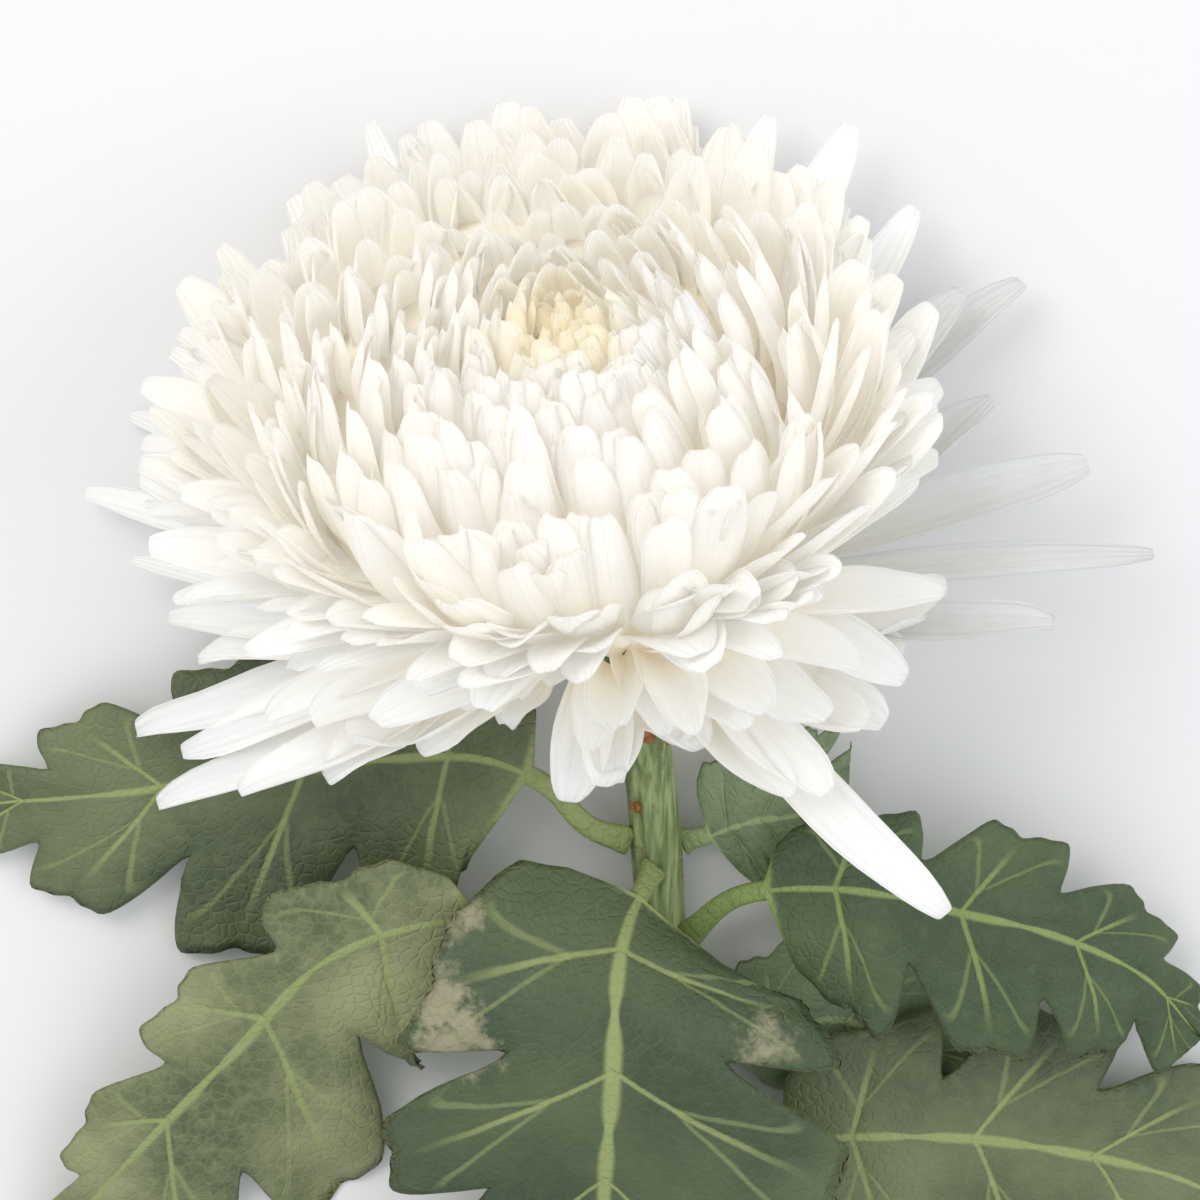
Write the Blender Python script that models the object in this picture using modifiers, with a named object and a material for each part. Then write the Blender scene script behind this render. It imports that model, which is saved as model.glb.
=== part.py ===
"""A cut white double chrysanthemum lying on a surface: bloom, involucre, ribbed stem and lobed leaves.

Metres, +Z up. The flower lies on z = 0 with its stem along -Y and its bloom at +Y, face raised.
The origin is on the surface under the bloom, where its lowest florets press flat.
"""

import math
import random

import bmesh
import bpy
from mathutils import Matrix, Vector

MM = 0.001
GOLDEN_ANGLE = math.radians(137.50776)

# The spot under the bloom that becomes the origin, in the coordinates of the layout below
REST_SPOT = Vector((-0.0052, -0.0034, 0.0))

# How the head sits: the middle of the receptacle, and the way the face looks
RECEPTACLE = Vector((0.011, -0.053, 0.0215))
FACE_RISE = math.radians(36)
FACE_LEAN = math.radians(10)

# The head's outline, measured along its own axis from the receptacle
HEAD_RADIUS = 0.061
HEAD_SHIFT_RIGHT = -0.006
HEAD_SHIFT_AWAY = 0.007
EYE_SHIFT_RIGHT = 0.001
EYE_SHIFT_AWAY = -0.006
EYE_SHIFT_PLACE = 0.5
HEAD_MIDDLE = 0.040
HEAD_UP = 0.030
HEAD_DOWN = 0.041
EYE_DIP = 0.06
EYE_DIP_SPREAD = 0.35
CORE_SHARE = 0.77
CORE_SEGMENTS = 22
CORE_RINGS = 13

# The florets of the spiral rows
FLORET_COUNT = 168
FLORET_SEED = 14
EYE_CURL = math.radians(24)
SMALLEST_CURL = 0.03
ROW_CURL = math.radians(48)
SKIRT_CURL = math.radians(-10)
OPENING_PLACE = 0.5
SKIRT_POLAR = math.radians(106)
FRONT_LIFT = math.radians(14)
FRONT_TURN = math.radians(-110)
FRONT_REFLEX = math.radians(34)
ROW_CROWDING = 0.66
ROOT_RADIUS = 0.012
ROOT_HEIGHT = 0.007
EYE_FLORET_WIDTH = 0.0060
RIM_FLORET_WIDTH = 0.0125
FLORET_THICKNESS = 0.0013
BLADE_STATIONS = (0.0, 0.55, 0.90)
BLADE_FULLNESS = (0.78, 1.0, 0.74)
ROOT_FULLNESS = 0.42
SURFACE_LIFT = 0.0001
SURFACE_SOFTNESS = 0.0012

# Wide and stray florets set by eye: turn round the head from the right towards the viewer, polar angle
# from the face's axis, length, width, bend towards the axis, roll about the floret's own line
STRAY_FLORETS = (
    (-26, 74, 70.3, 11, 26, 20),
    (-5, 84, 64, 11.5, 12, 15),
    (3, 92, 70.8, 8.5, -2, 65),
    (16, 92, 56.4, 11.5, 6, 10),
    (19, 90, 38, 12, 30, -15),
    (39, 100, 36, 13, -20, 10),
    (53, 112, 60, 12.5, -12, 5),
    (56, 104, 36, 13, -30, 0),
    (72, 98, 20.5, 12, -55, 10),
    (110, 104, 24.5, 12, -45, -14),
    (95, 104, 21.5, 10, -60, 20),
    (180, 100, 67, 13, 8, -8),
    (169, 103, 66, 13, 4, 4),
    (185, 94, 55, 11, 14, 0),
    (156, 98, 36, 13, 20, 10),
    (202, 84, 75.8, 11, 12, -10),
    (196, 88, 66.5, 10.5, 10, 12),
    (210, 76, 73.1, 10, 20, 0),
    (-115, 44, 75.2, 11, 4, 15),
    (-55, 50, 70, 11, 10, -5),
    (-45, 52, 72.9, 11, 12, 10),
    (-37, 62, 66.9, 11, 16, 15),
    (-27, 68, 62, 11, 26, 25),
    (137, 100, 15.9, 12, 30, 10),
    (101, 96, 24.6, 12, 36, -12),
    (76, 95, 19.7, 12.5, 28, 8),
    (63, 98, 35.2, 12.5, 20, -10),
    (43, 95, 36.9, 13, 16, 12),
    (24, 94, 35, 12.5, 24, -8),
    (15, 84, 42.3, 12.5, 34, 10),
    (-16, 80, 56.3, 12.5, 34, -10),
    (150, 98, 27.2, 13, 22, 6),
    (158, 99, 41.1, 13, 12, -8),
    (162, 97, 53.6, 13, 14, 8),
    (174, 99, 60, 13, 10, -4),
    (190, 92, 60, 12, 16, 6),
    (215, 78, 66, 11.5, 22, -6),
    (149, 84, 30.1, 12, -40, 10),
    (92, 66, 30, 11.5, -30, 10),
    (76, 70, 31, 12, -45, 12),
    (60, 72, 34, 12, -40, 18),
    (43, 76, 37, 12.5, -45, -14),
    (24, 78, 43, 12.5, -30, -10),
    (156, 84, 40.5, 12.5, -30, -8),
)

# The involucre under the florets
BRACT_COUNT = 14
BRACT_LENGTH = 0.0068
BRACT_ROW_STEP = 0.0018
BRACT_HALF_WIDTH = 0.0017
BRACT_HALF_THICKNESS = 0.0009
INVOLUCRE_RADIUS = 0.0108
INVOLUCRE_TOP = -0.0022
INVOLUCRE_DEPTH = 0.0062

# The stem's middle line in millimetres, from under the head to the cut end
STEM_LINE = (
    (12.30, -60.4, 16.05),
    (13.4, -66.0, 12.4),
    (14.8, -74.0, 9.4),
    (16.0, -84.0, 7.0),
    (17.0, -96.0, 5.4),
    (17.6, -110.0, 4.7),
    (17.8, -132.0, 4.1),
    (17.2, -160.0, 4.0),
    (15.0, -200.0, 4.0),
    (13.0, -242.0, 4.0),
    (12.5, -285.0, 3.9),
    (13.5, -326.0, 3.8),
)
STEM_RADIUS = 0.0038
STEM_RIBS = 8
STEM_RIB_DEPTH = 0.09
STEM_STATIONS = 30
NODE_SWELLING = 0.05
NODE_LENGTH = 0.004
SEAT_GAP = 0.0003

# Leaves: distance of the seat along the stem, turn of the seat round it (0 up, 90 right), the midrib's
# further points in millimetres, petiole share, half width, share of it that each half of the blade has,
# roll at base and tip, droop of the sides
LEAVES = (
    ("leaf_1", 37, -8,
     ((12.5, -101, 20), (10.6, -109, 26), (9.9, -124, 29), (8.7, -144, 24), (8, -166, 15)),
     0.10, 40, (1, 1), (4, -4), 0.16),
    ("leaf_2", 56, -62,
     ((6, -107, 12), (-12, -101, 18), (-33, -107, 18), (-49, -124, 14), (-71, -149, 8), (-80, -163, 4)),
     0.26, 34, (1, 0.42), (4, 12), 0.22),
    ("leaf_3", 33, -70,
     ((6, -88, 12), (-1, -81, 12.5), (-14, -77, 12), (-40, -80, 9), (-65, -84, 7), (-92, -87, 4)),
     0.20, 30, (1, 0.62), (-6, 4), 0.10),
    ("leaf_4", 49, 60,
     ((30, -98.5, 14), (46, -96, 20), (62.5, -99.3, 21), (78, -104, 18), (92, -112, 13), (101, -123, 8)),
     0.20, 25, (0.62, 1), (10, 22), 0.26),
    ("leaf_5", 84, 72,
     ((33, -141, 8), (47, -138.5, 10), (70, -139.5, 9), (97, -146, 6), (111, -154, 4)),
     0.18, 28, (0.9, 1), (-6, 6), 0.18),
    ("leaf_6", 35, 112,
     ((25, -91, 6.2), (31, -88.5, 8), (38, -87.5, 8), (46, -87.5, 6)),
     0.20, 15, (1, 1), (-8, -6), -0.10),
    ("leaf_7", 72, 100,
     ((30, -126, 4.2), (44, -121, 5), (57, -127, 4), (66, -141, 3)),
     0.16, 16, (1, 1), (0, 4), -0.05),
    ("leaf_8", 112, -84,
     ((4, -178, 7.5), (-14, -186, 11), (-38, -199, 9), (-66, -216, 4)),
     0.20, 30, (1, 0.9), (4, 6), 0.20),
    ("leaf_9", 150, 80,
     ((30, -212, 7.5), (48, -222, 11), (72, -236, 9), (94, -252, 4)),
     0.20, 27, (1, 1), (-2, -6), 0.20),
    ("leaf_10", 192, -80,
     ((0, -258, 7), (-16, -268, 9.5), (-38, -284, 7.5), (-58, -300, 4)),
     0.20, 24, (1, 1), (2, 6), 0.20),
)
LEAF_THICKNESS = 0.0008
LEAF_LOWEST = 0.0006
PETIOLE_HALF_WIDTH = 0.0016
PETIOLE_ROWS = 4
LOBES_A_SIDE = 4
TEETH_A_LOBE = 2
ROWS_A_LOBE = 4
TOOTH_DEPTH = 0.0022
SINUS_DEPTH = 0.50
SINUS_WIDTH = 0.036
VEIN_ANGLE_BASE = math.radians(82)
VEIN_ANGLE_TIP = math.radians(20)
COLUMN_SHARES = (0.5, 1.0)


def clear_scene():
    for obj in list(bpy.data.objects):
        bpy.data.objects.remove(obj, do_unlink=True)


def collection_named(name):
    collection = bpy.data.collections.new(name)
    bpy.context.scene.collection.children.link(collection)
    return collection


def plain_material(name, color, roughness):
    material = bpy.data.materials.new(name)
    material.use_nodes = True
    shader = material.node_tree.nodes["Principled BSDF"]
    shader.inputs["Base Color"].default_value = (*color, 1.0)
    shader.inputs["Roughness"].default_value = roughness
    shader.inputs["Metallic"].default_value = 0.0
    material.diffuse_color = (*color, 1.0)
    return material


def mesh_object(name, mesh, collection, material):
    obj = bpy.data.objects.new(name, mesh)
    mesh.materials.append(material)
    collection.objects.link(obj)
    return obj


def lerp(low, high, share):
    return low + (high - low) * share


def smooth_step(share):
    share = min(1.0, max(0.0, share))
    return share * share * (3 - 2 * share)


def smooth_line(points, count):
    """Evenly spaced points on the smooth curve through the given ones."""
    ends = [points[0] * 2 - points[1], *points, points[-1] * 2 - points[-2]]
    fine = []
    for i in range(1, len(ends) - 2):
        a, b, c, d = ends[i - 1 : i + 3]
        for step in range(16):
            u = step / 16
            fine.append(
                0.5 * (2 * b + (c - a) * u + (2 * a - 5 * b + 4 * c - d) * u**2
                       + (3 * b - 3 * c + d - a) * u**3)
            )
    fine.append(points[-1].copy())
    reach = [0.0]
    for here, there in zip(fine, fine[1:]):
        reach.append(reach[-1] + (there - here).length)
    line = []
    at = 0
    for step in range(count):
        wanted = reach[-1] * step / (count - 1)
        while at < len(fine) - 2 and reach[at + 1] < wanted:
            at += 1
        share = (wanted - reach[at]) / (reach[at + 1] - reach[at])
        line.append(fine[at].lerp(fine[at + 1], share))
    return line, reach[-1]


def head_matrix():
    """From the head's own axes (X right, Y away from the viewer, Z along the face's axis) to the world."""
    axis = Vector((
        -math.sin(FACE_LEAN) * math.cos(FACE_RISE),
        math.cos(FACE_LEAN) * math.cos(FACE_RISE),
        math.sin(FACE_RISE),
    ))
    right = Vector((math.cos(FACE_LEAN), math.sin(FACE_LEAN), 0))
    matrix = Matrix((right, axis.cross(right), axis)).transposed().to_4x4()
    matrix.translation = RECEPTACLE
    return matrix


def head_reach(polar):
    """Distance from the head's middle to the floret tips at a polar angle from the face's axis."""
    half_height = HEAD_UP if math.cos(polar) > 0 else HEAD_DOWN
    reach = 1 / math.hypot(math.sin(polar) / HEAD_RADIUS, math.cos(polar) / half_height)
    return reach * (1 - EYE_DIP * math.exp(-((polar / EYE_DIP_SPREAD) ** 2)))


def skirt_polar(turn):
    """Polar angle where the rows end: less deep at the head's front, where single florets take over."""
    return SKIRT_POLAR - FRONT_LIFT * (0.5 + 0.5 * math.cos(turn - FRONT_TURN))


def floret_curl(place):
    """Bend of a floret towards the axis, from the eye (0) to the skirt (1)."""
    closed = lerp(EYE_CURL, ROW_CURL, min(1.0, place / OPENING_PLACE))
    return lerp(closed, SKIRT_CURL, smooth_step((place - OPENING_PLACE) / (1 - OPENING_PLACE)))


def rest_on_surface(point):
    """A point of a floret's middle line, lifted smoothly so that the floret lies on the surface."""
    depth = (point.z - SURFACE_LIFT) / SURFACE_SOFTNESS
    if depth < 6:
        point.z = SURFACE_LIFT + SURFACE_SOFTNESS * math.log1p(math.exp(depth))
    return point


def floret_mesh(turn, root, polar, curl, length, width, roll, start, matrix):
    """A closed strap blade along an arc: four-cornered lens sections, split alike on both faces."""
    outward = Vector((math.cos(turn), math.sin(turn), 0))
    sideways = Vector((-math.sin(turn), math.cos(turn), 0))
    bend = curl if abs(curl) > 0.02 else 0.02
    first = polar + bend / 2

    def station(share):
        angle = first - bend * share
        radial = root[0] + length / bend * (math.cos(angle) - math.cos(first))
        height = root[1] + length / bend * (math.sin(first) - math.sin(angle))
        along = outward * math.sin(angle) + Vector((0, 0, math.cos(angle)))
        inner = outward * -math.cos(angle) + Vector((0, 0, math.sin(angle)))
        twist = Matrix.Rotation(roll * share, 3, along)
        middle = rest_on_surface(matrix @ (outward * radial + Vector((0, 0, height))))
        turned = matrix.to_3x3()
        return middle, turned @ (twist @ sideways), turned @ (twist @ inner)

    points = []
    for share, fullness in zip(BLADE_STATIONS, BLADE_FULLNESS):
        middle, side, inner = station(lerp(start, 1.0, share))
        half = width / 2 * min(fullness, lerp(ROOT_FULLNESS, 1.4, lerp(start, 1.0, share)))
        thick = FLORET_THICKNESS / 2 * lerp(1.0, 0.75, share)
        raised = inner * (half * 0.34)
        points += [
            middle + side * half + raised,
            middle + inner * thick,
            middle - side * half + raised,
            middle - inner * thick,
        ]
    tip, _, tip_inner = station(1.0)
    points.append(tip + tip_inner * (width * 0.16))
    faces = [(0, 1, 3), (1, 2, 3)]
    rings = len(BLADE_STATIONS)
    for ring in range(rings - 1):
        low = ring * 4
        high = low + 4
        right, face, left, back = range(4)
        faces += [
            (low + right, high + right, high + face), (low + right, high + face, low + face),
            (low + left, low + face, high + face), (low + left, high + face, high + left),
            (low + left, high + left, high + back), (low + left, high + back, low + back),
            (low + right, low + back, high + back), (low + right, high + back, high + right),
        ]
    top = (rings - 1) * 4
    for corner in range(4):
        faces.append((top + corner, len(points) - 1, top + (corner + 1) % 4))
    mesh = bpy.data.meshes.new("floret")
    mesh.from_pydata([tuple(p) for p in points], [], faces)
    return facing_out(mesh)


def facing_out(mesh):
    work = bmesh.new()
    work.from_mesh(mesh)
    bmesh.ops.recalc_face_normals(work, faces=work.faces)
    if work.calc_volume(signed=True) < 0:
        bmesh.ops.reverse_faces(work, faces=work.faces)
    work.to_mesh(mesh)
    work.free()
    return mesh


def spiral_florets(matrix):
    draw = random.Random(FLORET_SEED)
    meshes = []
    for index in range(FLORET_COUNT):
        place = (index + 0.5) / FLORET_COUNT
        turn = index * GOLDEN_ANGLE + draw.uniform(-0.06, 0.06)
        tip_polar = skirt_polar(turn) * place**ROW_CROWDING + draw.uniform(-0.03, 0.03)
        tip_reach = head_reach(tip_polar) * draw.uniform(0.97, 1.02)
        root = (ROOT_RADIUS * math.sqrt(place), ROOT_HEIGHT * (1 - place))
        front = 0.5 + 0.5 * math.cos(turn - FRONT_TURN)
        drawn = smooth_step(place / EYE_SHIFT_PLACE)
        tip_radius = tip_reach * math.sin(tip_polar)
        right = tip_radius * math.cos(turn) + lerp(EYE_SHIFT_RIGHT, HEAD_SHIFT_RIGHT, drawn)
        away = tip_radius * math.sin(turn) + lerp(EYE_SHIFT_AWAY, HEAD_SHIFT_AWAY, drawn)
        turn = math.atan2(away, right)
        across = math.hypot(right, away) - root[0]
        rise = HEAD_MIDDLE + tip_reach * math.cos(tip_polar) - root[1]
        curl = floret_curl(place) + draw.uniform(-0.1, 0.1)
        curl -= FRONT_REFLEX * smooth_step(front * 2 - 1) * smooth_step((place - OPENING_PLACE) / 0.4)
        curl = math.copysign(max(abs(curl), SMALLEST_CURL), curl)
        length = math.hypot(across, rise) * (curl / 2) / math.sin(curl / 2)
        width = lerp(EYE_FLORET_WIDTH, RIM_FLORET_WIDTH, place**0.6)
        roll = draw.uniform(-0.25, 0.25)
        start = lerp(0.64, 0.26, smooth_step((place - 0.55) / 0.4))
        meshes.append(floret_mesh(
            turn, root, math.atan2(across, rise), curl, length, width, roll, start, matrix
        ))
    return meshes


def stray_florets(matrix):
    meshes = []
    for turn, polar, length, width, curl, roll in STRAY_FLORETS:
        meshes.append(floret_mesh(
            -math.radians(turn), (ROOT_RADIUS * 0.9, 0.002), math.radians(polar), math.radians(curl),
            length * MM, width * MM, math.radians(roll), 0.0, matrix
        ))
    return meshes


def core_mesh(matrix):
    """The dense heart of the head, which the florets stand out of."""
    work = bmesh.new()
    bmesh.ops.create_uvsphere(work, u_segments=CORE_SEGMENTS, v_segments=CORE_RINGS, radius=1)
    for vertex in work.verts:
        polar = math.acos(max(-1.0, min(1.0, vertex.co.z)))
        vertex.co *= head_reach(polar) * CORE_SHARE
        if polar > math.pi / 2:
            vertex.co.z /= lerp(1.0, CORE_SHARE, smooth_step((polar - math.pi / 2) / (math.pi / 2)))
        vertex.co.z += HEAD_MIDDLE
        moved = smooth_step(vertex.co.z / HEAD_MIDDLE)
        vertex.co = matrix @ (vertex.co + Vector((HEAD_SHIFT_RIGHT, HEAD_SHIFT_AWAY, 0)) * moved)
    mesh = bpy.data.meshes.new("core")
    work.to_mesh(mesh)
    work.free()
    return facing_out(mesh)


def fuse(base, additions, cutter):
    """Joins every mesh of the list to the base object in one union, then takes the cutter away."""
    helpers = bpy.data.collections.new("fused_pieces")
    bpy.context.scene.collection.children.link(helpers)
    for mesh in additions:
        helpers.objects.link(bpy.data.objects.new("piece", mesh))
    union = base.modifiers.new("union", "BOOLEAN")
    union.operation = "UNION"
    union.solver = "MANIFOLD"
    union.operand_type = "COLLECTION"
    union.collection = helpers
    if cutter:
        below = base.modifiers.new("surface", "BOOLEAN")
        below.operation = "DIFFERENCE"
        below.solver = "MANIFOLD"
        below.object = cutter
    bpy.context.view_layer.update()
    evaluated = base.evaluated_get(bpy.context.evaluated_depsgraph_get())
    joined = bpy.data.meshes.new_from_object(evaluated)
    base.modifiers.clear()
    base.data = joined
    for obj in list(helpers.objects):
        bpy.data.objects.remove(obj, do_unlink=True)
    bpy.data.collections.remove(helpers)
    keep_outer_body(joined)


def keep_outer_body(mesh):
    """Keeps the one body that holds together: scraps and the walls of sealed pockets are dropped."""
    work = bmesh.new()
    work.from_mesh(mesh)
    unseen = set(work.faces)
    bodies = []
    while unseen:
        body = {unseen.pop()}
        front = list(body)
        while front:
            for edge in front.pop().edges:
                for face in edge.link_faces:
                    if face not in body:
                        body.add(face)
                        unseen.discard(face)
                        front.append(face)
        bodies.append(body)
    bodies.sort(key=len, reverse=True)
    scraps = [face for body in bodies[1:] for face in body]
    bmesh.ops.delete(work, geom=scraps, context="FACES")
    work.to_mesh(mesh)
    work.free()


def surface_cutter(cutters):
    """A block under the surface, which gives the lowest florets their flat spots."""
    work = bmesh.new()
    bmesh.ops.create_cube(work, size=1)
    bmesh.ops.scale(work, vec=(0.4, 0.4, 0.04), verts=work.verts)
    bmesh.ops.translate(work, vec=(0, 0, -0.02), verts=work.verts)
    mesh = bpy.data.meshes.new("surface_cutter")
    work.to_mesh(mesh)
    work.free()
    cutter = bpy.data.objects.new("surface_cutter", mesh)
    cutter.hide_render = True
    cutter.display_type = "WIRE"
    cutters.objects.link(cutter)
    return cutter


def build_bloom(parts, cutters):
    matrix = head_matrix()
    petal = plain_material("petal_white", (0.87, 0.85, 0.80), 0.55)
    bloom = mesh_object("bloom", core_mesh(matrix), parts, petal)
    cutter = surface_cutter(cutters)
    fuse(bloom, spiral_florets(matrix) + stray_florets(matrix), cutter)
    if not bloom.data.materials:
        bloom.data.materials.append(petal)


def build_involucre(parts):
    """A shallow green cup with rows of pointed bracts pressed against it."""
    matrix = head_matrix()
    green = plain_material("bract_green", (0.20, 0.30, 0.10), 0.6)
    work = bmesh.new()
    bmesh.ops.create_uvsphere(work, u_segments=14, v_segments=7, radius=1)
    for vertex in work.verts:
        rise = vertex.co.z
        vertex.co.x *= INVOLUCRE_RADIUS
        vertex.co.y *= INVOLUCRE_RADIUS
        vertex.co.z = INVOLUCRE_TOP + (rise * 0.0006 if rise > 0 else rise * INVOLUCRE_DEPTH)
        vertex.co = matrix @ vertex.co
    mesh = bpy.data.meshes.new("involucre")
    work.to_mesh(mesh)
    work.free()
    involucre = mesh_object("involucre", facing_out(mesh), parts, green)
    bracts = []
    for index in range(BRACT_COUNT):
        row = index % 2
        bracts.append(bract_mesh(index * math.tau / BRACT_COUNT, row, matrix))
    fuse(involucre, bracts, None)
    if not involucre.data.materials:
        involucre.data.materials.append(green)


def bract_mesh(turn, row, matrix):
    """One blunt scale that lies along the cup's side, a spindle flattened against it."""
    work = bmesh.new()
    bmesh.ops.create_uvsphere(work, u_segments=4, v_segments=4, radius=1)
    length = BRACT_LENGTH - BRACT_ROW_STEP * row
    for vertex in work.verts:
        across, thick, along = vertex.co
        angle = math.radians(lerp(158, 112, (along + 1) / 2) + 10 * row)
        reach = 1.0 + 0.05 * row
        radial = INVOLUCRE_RADIUS * reach * math.sin(angle) + length * 0.02
        height = INVOLUCRE_TOP + INVOLUCRE_DEPTH * reach * math.cos(angle)
        place = Vector((
            radial + thick * BRACT_HALF_THICKNESS,
            across * BRACT_HALF_WIDTH,
            height - thick * BRACT_HALF_THICKNESS / 2,
        ))
        vertex.co = matrix @ (Matrix.Rotation(turn, 3, "Z") @ place)
    mesh = bpy.data.meshes.new("bract")
    work.to_mesh(mesh)
    work.free()
    return facing_out(mesh)


def stem_points():
    points = [Vector(p) * MM for p in STEM_LINE]
    return smooth_line(points, STEM_STATIONS)


def build_stem(parts, cutters):
    """A ribbed tube, a little swollen where each leaf grows, with closed ends."""
    line, length = stem_points()
    profile = bpy.data.curves.new("stem_profile", "CURVE")
    profile.dimensions = "2D"
    ring = profile.splines.new("POLY")
    corners = STEM_RIBS * 2
    ring.points.add(corners - 1)
    for corner in range(corners):
        angle = -math.tau * corner / corners
        radius = STEM_RADIUS * (1 - STEM_RIB_DEPTH * (corner % 2))
        ring.points[corner].co = (radius * math.cos(angle), radius * math.sin(angle), 0, 1)
    ring.use_cyclic_u = True
    guide = bpy.data.objects.new("stem_profile", profile)
    guide.hide_render = True
    guide.display_type = "WIRE"
    cutters.objects.link(guide)
    curve = bpy.data.curves.new("stem", "CURVE")
    curve.dimensions = "3D"
    curve.bevel_mode = "OBJECT"
    curve.bevel_object = guide
    curve.use_fill_caps = True
    curve.twist_mode = "Z_UP"
    spline = curve.splines.new("POLY")
    spline.points.add(len(line) - 1)
    for index, point in enumerate(line):
        at = length * index / (len(line) - 1)
        nearest = min(abs(at - leaf[1] * MM) for leaf in LEAVES)
        swelling = 1 + NODE_SWELLING * math.exp(-((nearest / NODE_LENGTH) ** 2))
        spline.points[index].co = (*point, 1)
        spline.points[index].radius = swelling if at < length - NODE_LENGTH else 1.0
    curve.materials.append(plain_material("stem_green", (0.27, 0.36, 0.15), 0.5))
    parts.objects.link(bpy.data.objects.new("stem", curve))


def leaf_seat(distance, turn, towards):
    """The point just off the stem where a petiole starts, further off where it leaves aslant."""
    line, length = stem_points()
    at = distance * MM / length * (len(line) - 1)
    low = int(at)
    middle = line[low].lerp(line[low + 1], at - low)
    along = (line[low + 1] - line[low]).normalized()
    up = (Vector((0, 0, 1)) - along * along.z).normalized()
    right = up.cross(along).normalized()
    angle = math.radians(turn)
    outward = up * math.cos(angle) + right * math.sin(angle)
    leaving = (towards - middle).normalized()
    slant = math.sqrt(max(0.0, 1 - leaving.dot(outward) ** 2))
    return middle + outward * (STEM_RADIUS * (1 + NODE_SWELLING) + SEAT_GAP + PETIOLE_HALF_WIDTH * slant)


def blade_plan(half_width, halves, draw):
    """Rows of the lobed blade: place of the foot on the midrib, vein angle, and reach on each side."""
    rows = []
    lobe_gain = [[draw.uniform(0.88, 1.1) for _ in range(LOBES_A_SIDE)] for _ in range(2)]
    count = LOBES_A_SIDE * ROWS_A_LOBE
    for row in range(count + 1):
        q = row / count
        angle = lerp(VEIN_ANGLE_BASE, VEIN_ANGLE_TIP, q)
        body = max(0.0, math.sin(math.pi * (0.13 + 0.87 * q))) ** 0.8
        tooth = TOOTH_DEPTH * (row % (ROWS_A_LOBE // TEETH_A_LOBE)) * (1 - q * 0.5)
        reaches = []
        for side in range(2):
            cut = 0.0
            for sinus in range(1, LOBES_A_SIDE):
                away = (q - sinus / LOBES_A_SIDE) / SINUS_WIDTH
                cut = max(cut, SINUS_DEPTH * (1.15 - 0.15 * sinus) * math.exp(-away * away))
            gain = lobe_gain[side][min(LOBES_A_SIDE - 1, int(q * LOBES_A_SIDE))]
            reaches.append(max(0.0008, half_width * halves[side] * MM * body * gain * (1 - cut) + tooth))
        rows.append((q, angle, reaches))
    return rows


def leaf_mesh(distance, turn, further, petiole_share, half_width, halves, rolls, droop, seed):
    """The leaf's middle sheet: a petiole strip and a lobed blade bent over its midrib."""
    draw = random.Random(seed)
    points = [Vector(p) * MM for p in further]
    line, length = smooth_line([leaf_seat(distance, turn, points[0])] + points, 60)
    petiole = length * petiole_share
    blade = length - petiole

    def place(across, along):
        at = min(max(along, 0.0), length - 1e-6) / length * (len(line) - 1)
        low = int(at)
        middle = line[low].lerp(line[low + 1], at - low)
        ahead = line[min(low + 2, len(line) - 1)]
        behind = line[max(low - 1, 0)]
        tangent = (ahead - behind).normalized()
        side = tangent.cross(Vector((0, 0, 1))).normalized()
        normal = side.cross(tangent)
        roll = math.radians(lerp(*rolls, along / length))
        spread = across / (half_width * MM)
        wave = 0.05 * math.sin(along / blade * 19 + spread * 2 + seed) * spread * spread
        sag = half_width * MM * (wave - droop * spread * spread)
        point = middle
        point = point + (side * math.cos(roll) + normal * math.sin(roll)) * across
        point = point + (normal * math.cos(roll) - side * math.sin(roll)) * sag
        point.z = max(point.z, LEAF_LOWEST)
        return point

    rows = []
    for row in range(PETIOLE_ROWS):
        along = petiole * row / PETIOLE_ROWS
        rows.append([(share * PETIOLE_HALF_WIDTH, along) for share in (-1, -0.5, 0, 0.5, 1)])
    for q, angle, (left, right) in blade_plan(half_width, halves, draw):
        foot = petiole + blade * q
        row = []
        for share in reversed(COLUMN_SHARES):
            row.append((-share * left * math.sin(angle), foot + share * left * math.cos(angle)))
        row.append((0.0, foot))
        for share in COLUMN_SHARES:
            row.append((share * right * math.sin(angle), foot + share * right * math.cos(angle)))
        rows.append(row)
    work = bmesh.new()
    grid = [[work.verts.new(place(*spot)) for spot in row] for row in rows]
    for low, high in zip(grid, grid[1:]):
        for column in range(len(low) - 1):
            work.faces.new((low[column], low[column + 1], high[column + 1], high[column]))
    bmesh.ops.triangulate(work, faces=work.faces, quad_method="SHORT_EDGE")
    mesh = bpy.data.meshes.new("leaf")
    work.to_mesh(mesh)
    work.free()
    return mesh


def build_leaves(parts):
    green = plain_material("leaf_green", (0.075, 0.115, 0.045), 0.5)
    for seed, (name, *shape) in enumerate(LEAVES):
        leaf = mesh_object(name, leaf_mesh(*shape, seed), parts, green)
        wall = leaf.modifiers.new("thickness", "SOLIDIFY")
        wall.thickness = LEAF_THICKNESS
        wall.offset = 0


clear_scene()
flower = collection_named("double_chrysanthemum")
cutters = collection_named("cutters")
build_bloom(flower, cutters)
build_involucre(flower)
build_stem(flower, cutters)
build_leaves(flower)
for piece in flower.objects:
    piece.location = -REST_SPOT
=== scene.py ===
"""A cut white double chrysanthemum lying on a pale table, seen from above: stem, involucre, bloom, leaves."""

import math
import random

import bmesh
import bpy
from mathutils import Matrix, Vector


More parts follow.
